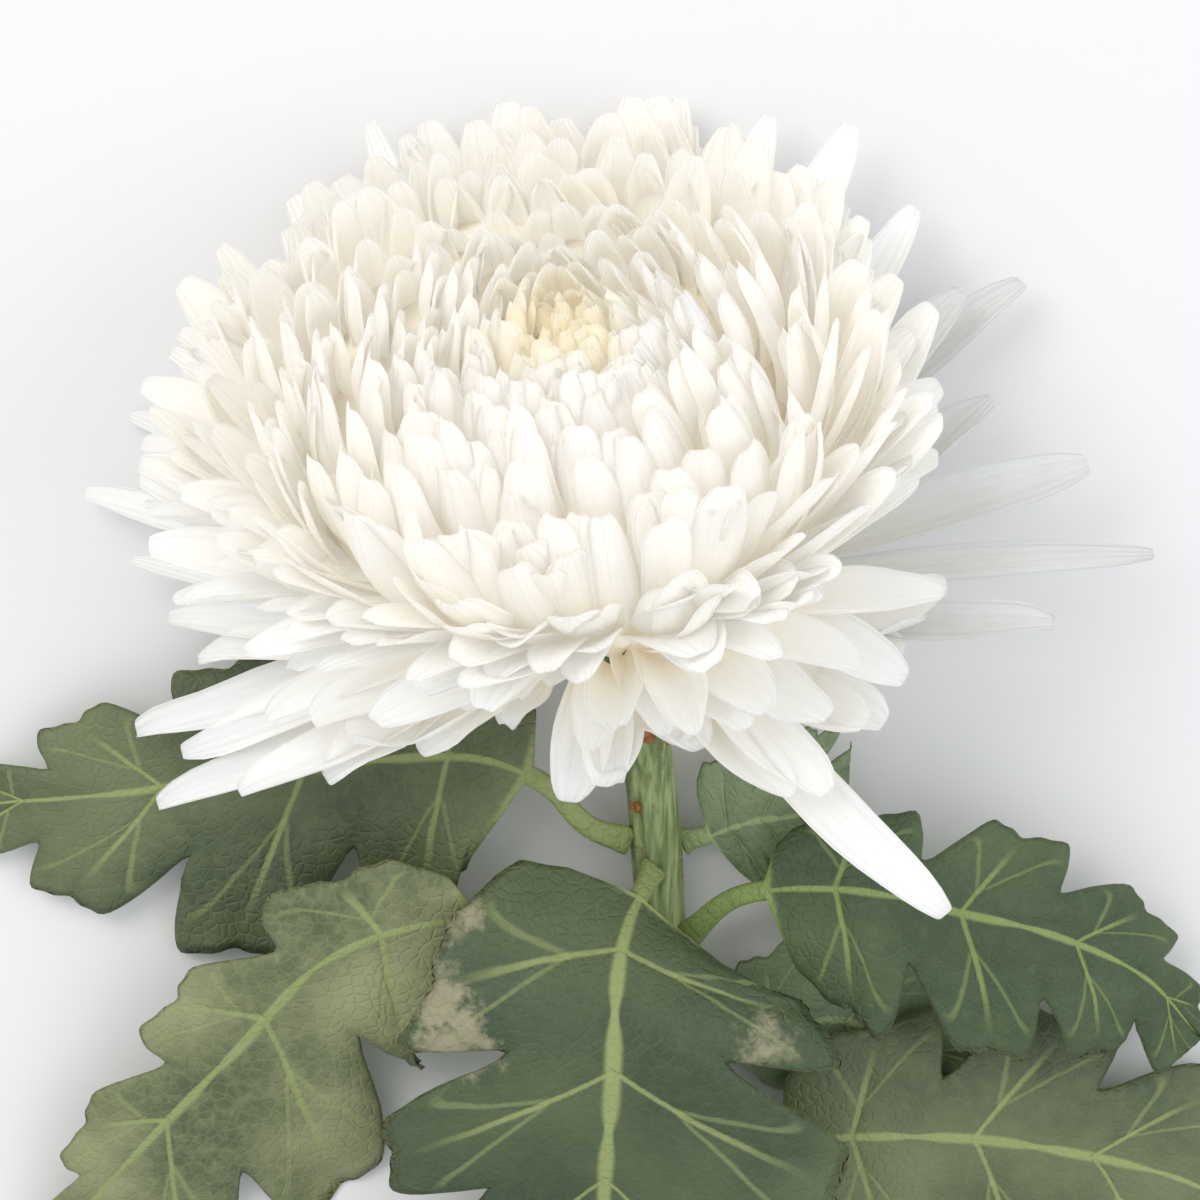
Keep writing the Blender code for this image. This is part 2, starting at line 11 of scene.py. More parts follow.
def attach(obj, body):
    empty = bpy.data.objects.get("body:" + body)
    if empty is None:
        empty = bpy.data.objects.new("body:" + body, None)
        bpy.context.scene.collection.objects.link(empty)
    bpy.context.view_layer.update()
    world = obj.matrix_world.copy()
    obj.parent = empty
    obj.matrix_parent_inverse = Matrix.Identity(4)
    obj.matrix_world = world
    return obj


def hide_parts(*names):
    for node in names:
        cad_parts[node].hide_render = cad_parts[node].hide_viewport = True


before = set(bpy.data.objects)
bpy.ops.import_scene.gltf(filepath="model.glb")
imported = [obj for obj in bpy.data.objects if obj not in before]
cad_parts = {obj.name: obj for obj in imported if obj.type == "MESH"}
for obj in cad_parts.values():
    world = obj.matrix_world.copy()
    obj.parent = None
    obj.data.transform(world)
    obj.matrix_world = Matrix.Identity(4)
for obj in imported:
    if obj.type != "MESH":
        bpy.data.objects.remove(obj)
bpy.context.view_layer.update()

# Studio: a pale matt table, a big soft lamp over it to the upper left, a weak one from the right, and a
# camera that looks down on the flower, a little from beyond its head.
LAYOUT_SHIFT = Vector((0.0052, 0.0034, 0.0))
TABLE_WHITE = (0.80, 0.80, 0.81)


def studio():
    scene = bpy.context.scene
    scene.view_settings.view_transform = "Standard"
    world = bpy.data.worlds.new("soft_room")
    scene.world = world
    world.use_nodes = True
    room = world.node_tree.nodes["Background"]
    room.inputs["Color"].default_value = (0.97, 0.985, 1.0, 1.0)
    room.inputs["Strength"].default_value = 0.86

    table = bpy.data.meshes.new("table_top")
    edge = 3.0
    table.from_pydata([(-edge, -edge, 0), (edge, -edge, 0), (edge, edge, 0), (-edge, edge, 0)], [], [(0, 1, 2, 3)])
    table_top = bpy.data.objects.new("table_top", table)
    scene.collection.objects.link(table_top)
    matt = bpy.data.materials.new("table_white")
    matt.use_nodes = True
    matt.node_tree.nodes["Principled BSDF"].inputs["Base Color"].default_value = (*TABLE_WHITE, 1.0)
    matt.node_tree.nodes["Principled BSDF"].inputs["Roughness"].default_value = 0.9
    matt.node_tree.nodes["Principled BSDF"].inputs["Specular IOR Level"].default_value = 0.1
    table.materials.append(matt)

    middle = Vector((0.02, -0.04, 0.03))
    for name, spot, size, power, color in (
        ("key_softbox", (-0.55, 0.62, 1.0), 0.7, 6.0, (1.0, 0.975, 0.94)),
        ("fill_softbox", (0.9, 0.1, 0.9), 1.0, 3.4, (0.94, 0.97, 1.0)),
    ):
        lamp = bpy.data.lights.new(name, "AREA")
        lamp.size = size
        lamp.energy = power
        lamp.color = color
        holder = bpy.data.objects.new(name, lamp)
        holder.location = spot
        holder.rotation_euler = (middle - Vector(spot)).to_track_quat("-Z", "Y").to_euler()
        scene.collection.objects.link(holder)

    lens = bpy.data.cameras.new("camera")
    lens.sensor_width = 36
    lens.lens = 149
    camera = bpy.data.objects.new("camera", lens)
    tilt = math.radians(12)
    away = Vector((0, math.sin(tilt), math.cos(tilt)))
    up = Vector((0, math.cos(tilt), -math.sin(tilt)))
    turned = Matrix((Vector((1, 0, 0)), up, away)).transposed().to_4x4()
    turned.translation = Vector((0.0081, -0.0460, 0.0440)) + LAYOUT_SHIFT + away * 0.720
    camera.matrix_world = turned
    scene.collection.objects.link(camera)
    scene.camera = camera


studio()

# Stem: one soft green stalk with about ten low ribs and short down. It is a little swollen where each leaf
# grows, has brown scars where side buds were taken off, and is cut square at the end.
STEM_LINE = (
    (12.30, -60.4, 16.05), (13.4, -66.0, 12.4), (14.8, -74.0, 9.4), (16.0, -84.0, 7.0), (17.0, -96.0, 5.4),
    (17.6, -110.0, 4.7), (17.8, -132.0, 4.1), (17.2, -160.0, 4.0), (15.0, -200.0, 4.0), (13.0, -242.0, 4.0),
    (12.5, -285.0, 3.9), (13.5, -326.0, 3.8),
)
STEM_RADIUS = 0.0038
LEAF_DISTANCES = (33, 35, 37, 49, 56, 72, 84, 112, 150, 192)
STEM_GREEN = (0.150, 0.205, 0.075)
STEM_PALE = (0.36, 0.44, 0.20)
SCAR_BROWN = (0.23, 0.10, 0.035)


class Wire:
    """A value between two nodes of a tree. Plain arithmetic on it adds the Math nodes."""

    def __init__(self, bench, socket):
        self.bench = bench
        self.socket = socket

    def maths(self, operation, first, second=0.0):
        return self.bench.node("ShaderNodeMath", {"operation": operation}, {0: first, 1: second})

    def __add__(self, other):
        return self.maths("ADD", self, other)

    def __radd__(self, other):
        return self.maths("ADD", other, self)

    def __sub__(self, other):
        return self.maths("SUBTRACT", self, other)

    def __rsub__(self, other):
        return self.maths("SUBTRACT", other, self)

    def __mul__(self, other):
        return self.maths("MULTIPLY", self, other)

    def __rmul__(self, other):
        return self.maths("MULTIPLY", other, self)

    def __truediv__(self, other):
        return self.maths("DIVIDE", self, other)

    def __rtruediv__(self, other):
        return self.maths("DIVIDE", other, self)

    def __pow__(self, other):
        return self.maths("POWER", self, other)


class Bench:
    """The nodes of one finish, or of one rule of growth."""

    def __init__(self, tree):
        self.tree = tree

    def node(self, kind, settings=None, sockets=None, out=0):
        made = self.tree.nodes.new(kind)
        for name, value in (settings or {}).items():
            if name == "stops":
                ramp = made.color_ramp
                while len(ramp.elements) < len(value):
                    ramp.elements.new(0.5)
                for element, (at, color) in zip(ramp.elements, value):
                    element.position = at
                    element.color = (*color, 1.0)
            else:
                setattr(made, name, value)
        for key, value in (sockets or {}).items():
            if isinstance(value, Wire):
                self.tree.links.new(value.socket, made.inputs[key])
            else:
                made.inputs[key].default_value = value
        return Wire(self, made.outputs[out])

    def function(self, operation, value, other=0.0):
        return self.node("ShaderNodeMath", {"operation": operation}, {0: value, 1: other})

    def clamp(self, value):
        return self.node("ShaderNodeClamp", {}, {0: value})

    def smooth(self, value, low, high):
        """0 below low, 1 above high, and a soft step between them."""
        return self.node("ShaderNodeMapRange", {"interpolation_type": "SMOOTHSTEP"},
                         {"Value": value, "From Min": low, "From Max": high})

    def blend(self, share, first, second, how="MIX"):
        """Two colours mixed by a share."""
        first = first if isinstance(first, Wire) else (*first, 1.0)
        second = second if isinstance(second, Wire) else (*second, 1.0)
        return self.node("ShaderNodeMix", {"data_type": "RGBA", "blend_type": how},
                         {0: share, 6: first, 7: second}, out=2)

    def spots(self, where, scale, detail=2.0, roughness=0.5):
        """Soft noise, from 0 to 1."""
        return self.node("ShaderNodeTexNoise", {"noise_dimensions": "3D"},
                         {"Vector": where, "Scale": scale, "Detail": detail, "Roughness": roughness})

    def place(self):
        """The point on the piece, in its own coordinates."""
        return self.node("ShaderNodeTexCoord", out=3)

    def plan(self):
        """The two numbers of the piece's own plan: across and along."""
        sheet = self.node("ShaderNodeUVMap", {"uv_map": "plan"})
        return (self.node("ShaderNodeSeparateXYZ", {}, {0: sheet}), self.node("ShaderNodeSeparateXYZ", {}, {0: sheet}, 1))

    def stored(self, name):
        """A number stored on the piece's points."""
        return self.node("ShaderNodeAttribute", {"attribute_name": name}, out=2)


def finish_named(name, roughness, specular=0.4):
    """A new material: its shader and the bench that its nodes are made on."""
    material = bpy.data.materials.new(name)
    material.use_nodes = True
    shader = material.node_tree.nodes["Principled BSDF"]
    shader.inputs["Roughness"].default_value = roughness
    shader.inputs["Specular IOR Level"].default_value = specular
    return material, shader, Bench(material.node_tree)


def feed(shader, name, wire):
    wire.bench.tree.links.new(wire.socket, shader.inputs[name])


def relief(bench, shader, height, distance, strength=1.0):
    feed(shader, "Normal", bench.node("ShaderNodeBump", {}, {"Strength": strength, "Distance": distance, "Height": height}))


def lerp(low, high, share):
    return low + (high - low) * share


def smooth_step(share):
    share = min(1.0, max(0.0, share))
    return share * share * (3 - 2 * share)


def smooth_line(points, count):
    """Evenly spaced points on the smooth curve through the given ones, and its length."""
    ends = [points[0] * 2 - points[1], *points, points[-1] * 2 - points[-2]]
    fine = []
    for i in range(1, len(ends) - 2):
        a, b, c, d = ends[i - 1 : i + 3]
        for step in range(16):
            u = step / 16
            fine.append(0.5 * (2 * b + (c - a) * u + (2 * a - 5 * b + 4 * c - d) * u**2
                               + (3 * b - 3 * c + d - a) * u**3))
    fine.append(points[-1].copy())
    reach = [0.0]
    for here, there in zip(fine, fine[1:]):
        reach.append(reach[-1] + (there - here).length)
    line = []
    at = 0
    for step in range(count):
        wanted = reach[-1] * step / (count - 1)
        while at < len(fine) - 2 and reach[at + 1] < wanted:
            at += 1
        line.append(fine[at].lerp(fine[at + 1], (wanted - reach[at]) / (reach[at + 1] - reach[at])))
    return line, reach[-1]


class Rule(Bench):
    """A Geometry Nodes rule with named inputs."""

    def __init__(self, name):
        super().__init__(bpy.data.node_groups.new(name, "GeometryNodeTree"))
        self.tree.interface.new_socket("Geometry", in_out="OUTPUT", socket_type="NodeSocketGeometry")
        self.names = []
        self.source = self.tree.nodes.new("NodeGroupInput")

    def given(self, name, kind="Float"):
        self.tree.interface.new_socket(name, in_out="INPUT", socket_type="NodeSocket" + kind)
        self.names.append(name)
        return Wire(self, self.source.outputs[name])

    def ends_in(self, geometry, material):
        whole = self.node("GeometryNodeRealizeInstances", {}, {0: geometry})
        coated = self.node("GeometryNodeSetMaterial", {}, {"Geometry": whole, "Material": material})
        result = self.tree.nodes.new("NodeGroupOutput")
        self.tree.links.new(coated.socket, result.inputs[0])

    def store(self, geometry, name, value):
        return self.node("GeometryNodeStoreNamedAttribute", {"data_type": "FLOAT", "domain": "POINT"},
                         {"Geometry": geometry, "Name": name, "Value": value})

    def read(self, name):
        return self.node("GeometryNodeInputNamedAttribute", {"data_type": "FLOAT"}, {"Name": name})

    def vector(self, x, y, z):
        return self.node("ShaderNodeCombineXYZ", {}, {0: x, 1: y, 2: z})

    def scaled(self, vector, by):
        return self.node("ShaderNodeVectorMath", {"operation": "SCALE"}, {0: vector, "Scale": by})

    def sum(self, first, *others):
        for other in others:
            first = self.node("ShaderNodeVectorMath", {"operation": "ADD"}, {0: first, 1: other})
        return first

    def above_table(self, geometry, lowest):
        """Lifts every point that is lower than this height up to it."""
        spot = self.node("GeometryNodeInputPosition")
        x, y, z = (self.node("ShaderNodeSeparateXYZ", {}, {0: spot}, part) for part in range(3))
        raised = self.vector(x, y, self.function("MAXIMUM", z, lowest))
        return self.node("GeometryNodeSetPosition", {}, {"Geometry": geometry, "Position": raised})

    def draw(self, low, high, index, seed):
        """A random number for each index."""
        return self.node("FunctionNodeRandomValue", {"data_type": "FLOAT"}, {2: low, 3: high, 7: index, 8: seed}, out=1)


def grown(name, mesh, rule, material, **values):
    """The plain mesh object that a rule grows from a starting mesh."""
    start = bpy.data.objects.new(name, mesh)
    bpy.context.scene.collection.objects.link(start)
    growth = start.modifiers.new("growth", "NODES")
    growth.node_group = rule.tree
    ids = {item.name: item.identifier for item in rule.tree.interface.items_tree if item.in_out == "INPUT"}
    for key, value in values.items():
        growth[ids[key.replace("_", " ")]] = value
    growth[ids["Finish"]] = material
    bpy.context.view_layer.update()
    made = bpy.data.meshes.new_from_object(start.evaluated_get(bpy.context.evaluated_depsgraph_get()))
    start.modifiers.clear()
    start.data = made
    made.name = name
    made.shade_smooth()
    made.set_sharp_from_angle(angle=math.radians(80))
    return start


def fitted(piece, slot, *nodes):
    """The piece rides on the flower and stands for these solids."""
    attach(piece, "root")
    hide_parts(*nodes)


def stem_rule():
    rule = Rule("stem_ribs_along_a_line")
    line = rule.given("Geometry", "Geometry")
    radius = rule.given("Stem radius")
    ribs = rule.given("Ribs")
    depth = rule.given("Rib depth")
    finish = rule.given("Finish", "Material")
    path = rule.node("GeometryNodeMeshToCurve", {}, {0: line})
    path = rule.node("GeometryNodeSetCurveNormal", {"mode": "Z_UP"}, {0: path})
    ring = rule.node("GeometryNodeCurvePrimitiveCircle", {"mode": "RADIUS"}, {"Resolution": 80, "Radius": 1.0})
    spot = rule.node("GeometryNodeInputPosition")
    x = rule.node("ShaderNodeSeparateXYZ", {}, {0: spot})
    y = rule.node("ShaderNodeSeparateXYZ", {}, {0: spot}, 1)
    turn = rule.function("ARCTAN2", y, x)
    swell = 1 - depth * (0.5 - 0.5 * rule.function("COSINE", turn * ribs))
    ring = rule.node("GeometryNodeSetPosition", {}, {"Geometry": ring, "Position": rule.scaled(spot, swell * radius)})
    tube = rule.node("GeometryNodeCurveToMesh", {},
                     {"Curve": path, "Profile Curve": ring, "Fill Caps": True, "Scale": rule.read("swelling")})
    rule.ends_in(tube, finish)
    return rule


def stem_finish():
    material, shader, bench = finish_named("stem_skin", 0.55)
    where = bench.place()
    stretched = bench.node("ShaderNodeMapping", {}, {0: where, "Scale": (1.0, 0.12, 1.0)})
    streaks = bench.spots(stretched, 900, 2)
    patches = bench.spots(where, 55, 3)
    green = bench.blend(bench.smooth(streaks, 0.35, 0.7), STEM_GREEN, STEM_PALE)
    green = bench.blend(bench.smooth(patches, 0.5, 0.8) * 0.45, green, (0.40, 0.46, 0.16))
    specks = bench.spots(where, 420, 2)
    green = bench.blend(bench.smooth(specks, 0.66, 0.74) * 0.6, green, (0.20, 0.13, 0.05))
    feed(shader, "Base Color", green)
    relief(bench, shader, streaks, 0.0003)
    return material


def stem_line_mesh(count):
    points = [Vector(p) * 0.001 + LAYOUT_SHIFT for p in STEM_LINE]
    line, length = smooth_line(points, count)
    mesh = bpy.data.meshes.new("stem_line")
    mesh.from_pydata([tuple(p) for p in line], [(i, i + 1) for i in range(count - 1)], [])
    swelling = mesh.attributes.new("swelling", "FLOAT", "POINT")
    for index in range(count):
        at = length * index / (count - 1)
        nearest = min(abs(at - distance * 0.001) for distance in LEAF_DISTANCES)
        swelling.data[index].value = 1 + 0.05 * math.exp(-((nearest / 0.004) ** 2))
    return mesh, line, length


def hair_rule():
    """Short down that stands on a skin."""
    rule = Rule("down_on_skin")
    skin = rule.given("Geometry", "Geometry")
    many = rule.given("Hairs", "Float")
    length = rule.given("Hair length")
    thick = rule.given("Hair thickness")
    seed = rule.given("Seed", "Int")
    finish = rule.given("Finish", "Material")
    spread = rule.tree.nodes.new("GeometryNodeDistributePointsOnFaces")
    rule.tree.links.new(skin.socket, spread.inputs["Mesh"])
    rule.tree.links.new(many.socket, spread.inputs["Density"])
    rule.tree.links.new(seed.socket, spread.inputs["Seed"])
    points = Wire(rule, spread.outputs["Points"])
    hair = rule.node("GeometryNodeMeshCone", {},
                     {"Vertices": 3, "Radius Top": 0.0, "Radius Bottom": thick, "Depth": length})
    stand = rule.node("FunctionNodeEulerToRotation", {}, {0: rule.vector(
        rule.draw(-0.5, 0.5, rule.node("GeometryNodeInputIndex"), 3),
        rule.draw(-0.5, 0.5, rule.node("GeometryNodeInputIndex"), 4), 0.0)})
    turned = rule.node("FunctionNodeRotateRotation", {"rotation_space": "LOCAL"},
                       {0: Wire(rule, spread.outputs["Rotation"]), 1: stand})
    hairs = rule.node("GeometryNodeInstanceOnPoints", {},
                      {"Points": points, "Instance": hair, "Rotation": turned,
                       "Scale": rule.draw(0.5, 1.0, rule.node("GeometryNodeInputIndex"), 5)})
    hairs = rule.node("GeometryNodeRealizeInstances", {}, {0: hairs})
    rule.ends_in(rule.above_table(hairs, 0.0001), finish)
    return rule


def scar_mesh(line, length):
    """Low corky rings with a sunken middle, where side buds and lower leaves were taken off."""
    work = bmesh.new()
    for distance, turn, size in ((13.5, 8, 1.9), (16.5, 74, 1.2), (12.5, -62, 1.1), (27, -46, 1.0), (100, 20, 1.2),
                                 (135, -30, 1.3), (176, 40, 1.2)):
        at = distance * 0.001 / length * (len(line) - 1)
        low = int(at)
        middle = line[low].lerp(line[low + 1], at - low)
        along = (line[low + 1] - line[low]).normalized()
        up = (Vector((0, 0, 1)) - along * along.z).normalized()
        right = up.cross(along).normalized()
        outward = up * math.cos(math.radians(turn)) + right * math.sin(math.radians(turn))
        side = along.cross(outward)
        rings = []
        for reach, rise in ((1.25, -0.35), (1.0, 0.22), (0.72, 0.36), (0.45, 0.20), (0.2, 0.14)):
            ring = []
            for step in range(14):
                turned = math.tau * step / 14
                rough = 1 + 0.12 * math.sin(step * 2.4 + distance)
                ring.append(work.verts.new(
                    middle + outward * (STEM_RADIUS * 0.97 + rise * size * 0.001)
                    + (along * math.cos(turned) * 0.8 + side * math.sin(turned)) * reach * rough * size * 0.001))
            rings.append(ring)
        for low_ring, high_ring in zip(rings, rings[1:]):
            for step in range(14):
                work.faces.new((low_ring[step], low_ring[step - 1], high_ring[step - 1], high_ring[step]))
        work.faces.new(rings[-1])
        work.faces.new(rings[0][::-1])
    bmesh.ops.recalc_face_normals(work, faces=work.faces)
    mesh = bpy.data.meshes.new("bud_scars")
    work.to_mesh(mesh)
    work.free()
    mesh.shade_smooth()
    return mesh


def grow_stem():
    skin = stem_finish()
    start, line, length = stem_line_mesh(220)
    stem = grown("stem_skin", start, stem_rule(), skin, Stem_radius=STEM_RADIUS, Ribs=10.0, Rib_depth=0.09)
    fitted(stem, "stem", "stem")

    down_finish, shader, _ = finish_named("pale_down", 0.7, 0.2)
    shader.inputs["Base Color"].default_value = (0.62, 0.66, 0.50, 1.0)
    down = grown("stem_down", stem.data.copy(), hair_rule(), down_finish,
                 Hairs=260000.0, Hair_length=0.0009, Hair_thickness=0.00004, Seed=7)
    down.data.shade_flat()
    fitted(down, "stem", "stem")

    cork, shader, bench = finish_named("corky_scar", 0.8, 0.2)
    feed(shader, "Base Color", bench.blend(bench.smooth(bench.spots(bench.place(), 900, 3), 0.3, 0.7),
                                           SCAR_BROWN, (0.42, 0.20, 0.07)))
    scars = bpy.data.objects.new("bud_scars", scar_mesh(line, length))
    scars.data.materials.append(cork)
    bpy.context.scene.collection.objects.link(scars)
    fitted(scars, "stem", "stem")


grow_stem()

# Involucre: the green underside of the receptacle, where the stem ends. Three rows of blunt bracts
# overlap on it like scales.
RECEPTACLE = Vector((0.011, -0.053, 0.0215)) + LAYOUT_SHIFT
FACE_RISE = math.radians(36)
FACE_LEAN = math.radians(10)
FACE_AXIS = Vector((-math.sin(FACE_LEAN) * math.cos(FACE_RISE), math.cos(FACE_LEAN) * math.cos(FACE_RISE),
                    math.sin(FACE_RISE)))
HEAD_RIGHT = Vector((math.cos(FACE_LEAN), math.sin(FACE_LEAN), 0))
HEAD_AWAY = FACE_AXIS.cross(HEAD_RIGHT)
CUP_RADIUS = 0.0108
CUP_TOP = -0.0022
CUP_DEPTH = 0.0062


def head_matrix():
    matrix = Matrix((HEAD_RIGHT, HEAD_AWAY, FACE_AXIS)).transposed().to_4x4()
    matrix.translation = RECEPTACLE
    return matrix


def sphere_mesh(name, segments, rings, shape):
    """A closed ball whose unit points are moved by a function."""
    work = bmesh.new()
    bmesh.ops.create_uvsphere(work, u_segments=segments, v_segments=rings, radius=1)
    for vertex in work.verts:
        vertex.co = shape(vertex.co.copy())
    bmesh.ops.recalc_face_normals(work, faces=work.faces)
    mesh = bpy.data.meshes.new(name)
    work.to_mesh(mesh)
    work.free()
    mesh.shade_smooth()
    return mesh


def bract_rule():
    """Rows of scales round the cup, each lying on it from below to its rim."""
    rule = Rule("bract_rows")
    scale = rule.given("Geometry", "Geometry")
    rows = rule.given("Rows")
    in_row = rule.given("Bracts in a row")
    cup = rule.given("Cup radius")
    top = rule.given("Cup top")
    depth = rule.given("Cup depth")
    wide = rule.given("Half width")
    seed = rule.given("Seed", "Int")
    finish = rule.given("Finish", "Material")
    index = rule.node("GeometryNodeInputIndex")
    points = rule.node("GeometryNodePoints", {}, {"Count": rule.node("FunctionNodeFloatToInt", {}, {0: rows * in_row})})
    row = rule.function("FLOOR", index / in_row)
    points = rule.store(points, "row", row)
    points = rule.store(points, "turn", index * (math.tau / 1.0) / in_row + row * 0.31 + rule.draw(-0.06, 0.06, index, seed))
    scales = rule.node("GeometryNodeInstanceOnPoints", {}, {"Points": points, "Instance": scale})
    scales = rule.node("GeometryNodeRealizeInstances", {}, {0: scales})
    spot = rule.node("GeometryNodeInputPosition")
    x, y, z = (rule.node("ShaderNodeSeparateXYZ", {}, {0: spot}, part) for part in range(3))
    row, turn = rule.read("row"), rule.read("turn")
    angle = 2.78 - (y * 0.5 + 0.5) * (0.95 - 0.1 * row) - 0.13 * row + 0.25
    reach = 1.0 + 0.035 * row + 0.02 * z
    sine, cosine = rule.function("SINE", angle), rule.function("COSINE", angle)
    radial = cup * reach * sine
    height = top + depth * reach * cosine
    side = x * wide
    around, beside = rule.function("COSINE", turn), rule.function("SINE", turn)
    head_x = radial * around - side * beside
    head_y = radial * beside + side * around
    placed = rule.sum(rule.scaled(rule.vector(*HEAD_RIGHT), head_x), rule.scaled(rule.vector(*HEAD_AWAY), head_y),
                      rule.scaled(rule.vector(*FACE_AXIS), height), rule.vector(*RECEPTACLE))
    scales = rule.node("GeometryNodeSetPosition", {}, {"Geometry": scales, "Position": placed})
    rule.ends_in(scales, finish)
    return rule


def grow_involucre():
    matrix = head_matrix()

    def cup_shape(point):
        lift = point.z * 0.0006 if point.z > 0 else point.z * CUP_DEPTH
        return matrix @ Vector((point.x * CUP_RADIUS, point.y * CUP_RADIUS, CUP_TOP + lift))

    material, shader, bench = finish_named("bract_green", 0.6)
    mottle = bench.spots(bench.place(), 500, 2)
    feed(shader, "Base Color", bench.blend(bench.smooth(mottle, 0.35, 0.7), (0.15, 0.22, 0.06), (0.33, 0.38, 0.14)))
    cup = bpy.data.objects.new("involucre_cup", sphere_mesh("involucre_cup", 32, 16, cup_shape))
    cup.data.materials.append(material)
    bpy.context.scene.collection.objects.link(cup)
    fitted(cup, "bract", "involucre")
    scale = sphere_mesh("bract_blank", 8, 6, lambda p: Vector((p.x, p.y, p.z)))
    bracts = grown("involucre_bracts", scale, bract_rule(), material, Rows=3.0, Bracts_in_a_row=11.0,
                   Cup_radius=CUP_RADIUS, Cup_top=CUP_TOP, Cup_depth=CUP_DEPTH, Half_width=0.0026, Seed=5)
    fitted(bracts, "bract", "involucre")


grow_involucre()

# Bloom: nearly seven hundred white strap florets on one receptacle. Each is a thin channelled blade that bends
# over the heart of the head, closed and cream in the eye, open and flat at the rim, drooping in the skirt.
HEAD_RADIUS = 0.061
HEAD_SHIFT_RIGHT = -0.006
HEAD_SHIFT_AWAY = 0.007
EYE_SHIFT_RIGHT = 0.001
EYE_SHIFT_AWAY = -0.006
HEAD_MIDDLE = 0.040
HEAD_UP = 0.030
HEAD_DOWN = 0.041
FLORET_TOTAL = 640
ROOT_RADIUS = 0.012
SURFACE_LIFT = 0.0003
SURFACE_SOFTNESS = 0.0012


def head_reach(polar):
    half_height = HEAD_UP if math.cos(polar) > 0 else HEAD_DOWN
    reach = 1 / math.hypot(math.sin(polar) / HEAD_RADIUS, math.cos(polar) / half_height)
    return reach * (1 - 0.12 * math.exp(-((polar / 0.35) ** 2)))


def floret_blank(across=4):
    """A flat closed pillow: x is across (-1 to 1), y along (0 to 1) and z the face (1 inner, -1 outer)."""
    mesh = bpy.data.meshes.new("floret_blank")
    points, faces, keys = [], [], {}
    along = 6
    stations = (0.0, 0.22, 0.44, 0.64, 0.80, 0.92, 1.0)

    def vertex(i, j, side):
        rim = i in (0, across) or j in (0, along)
        key = (i, j, 0 if rim else side)
        if key not in keys:
            keys[key] = len(points)
            points.append((i / across * 2 - 1, stations[j], key[2]))
        return keys[key]

    for side in (1, -1):
        for i in range(across):
            for j in range(along):
                corners = [(i, j), (i + 1, j), (i + 1, j + 1), (i, j + 1)]
                if side < 0:
                    corners.reverse()
                faces.append([vertex(*corner, side) for corner in corners])
    mesh.from_pydata(points, [], faces)
    plan = mesh.uv_layers.new(name="plan")
    for loop in mesh.loops:
        x, y, _ = points[loop.vertex_index]
        plan.data[loop.index].uv = (x * 0.5 + 0.5, y)
    return mesh


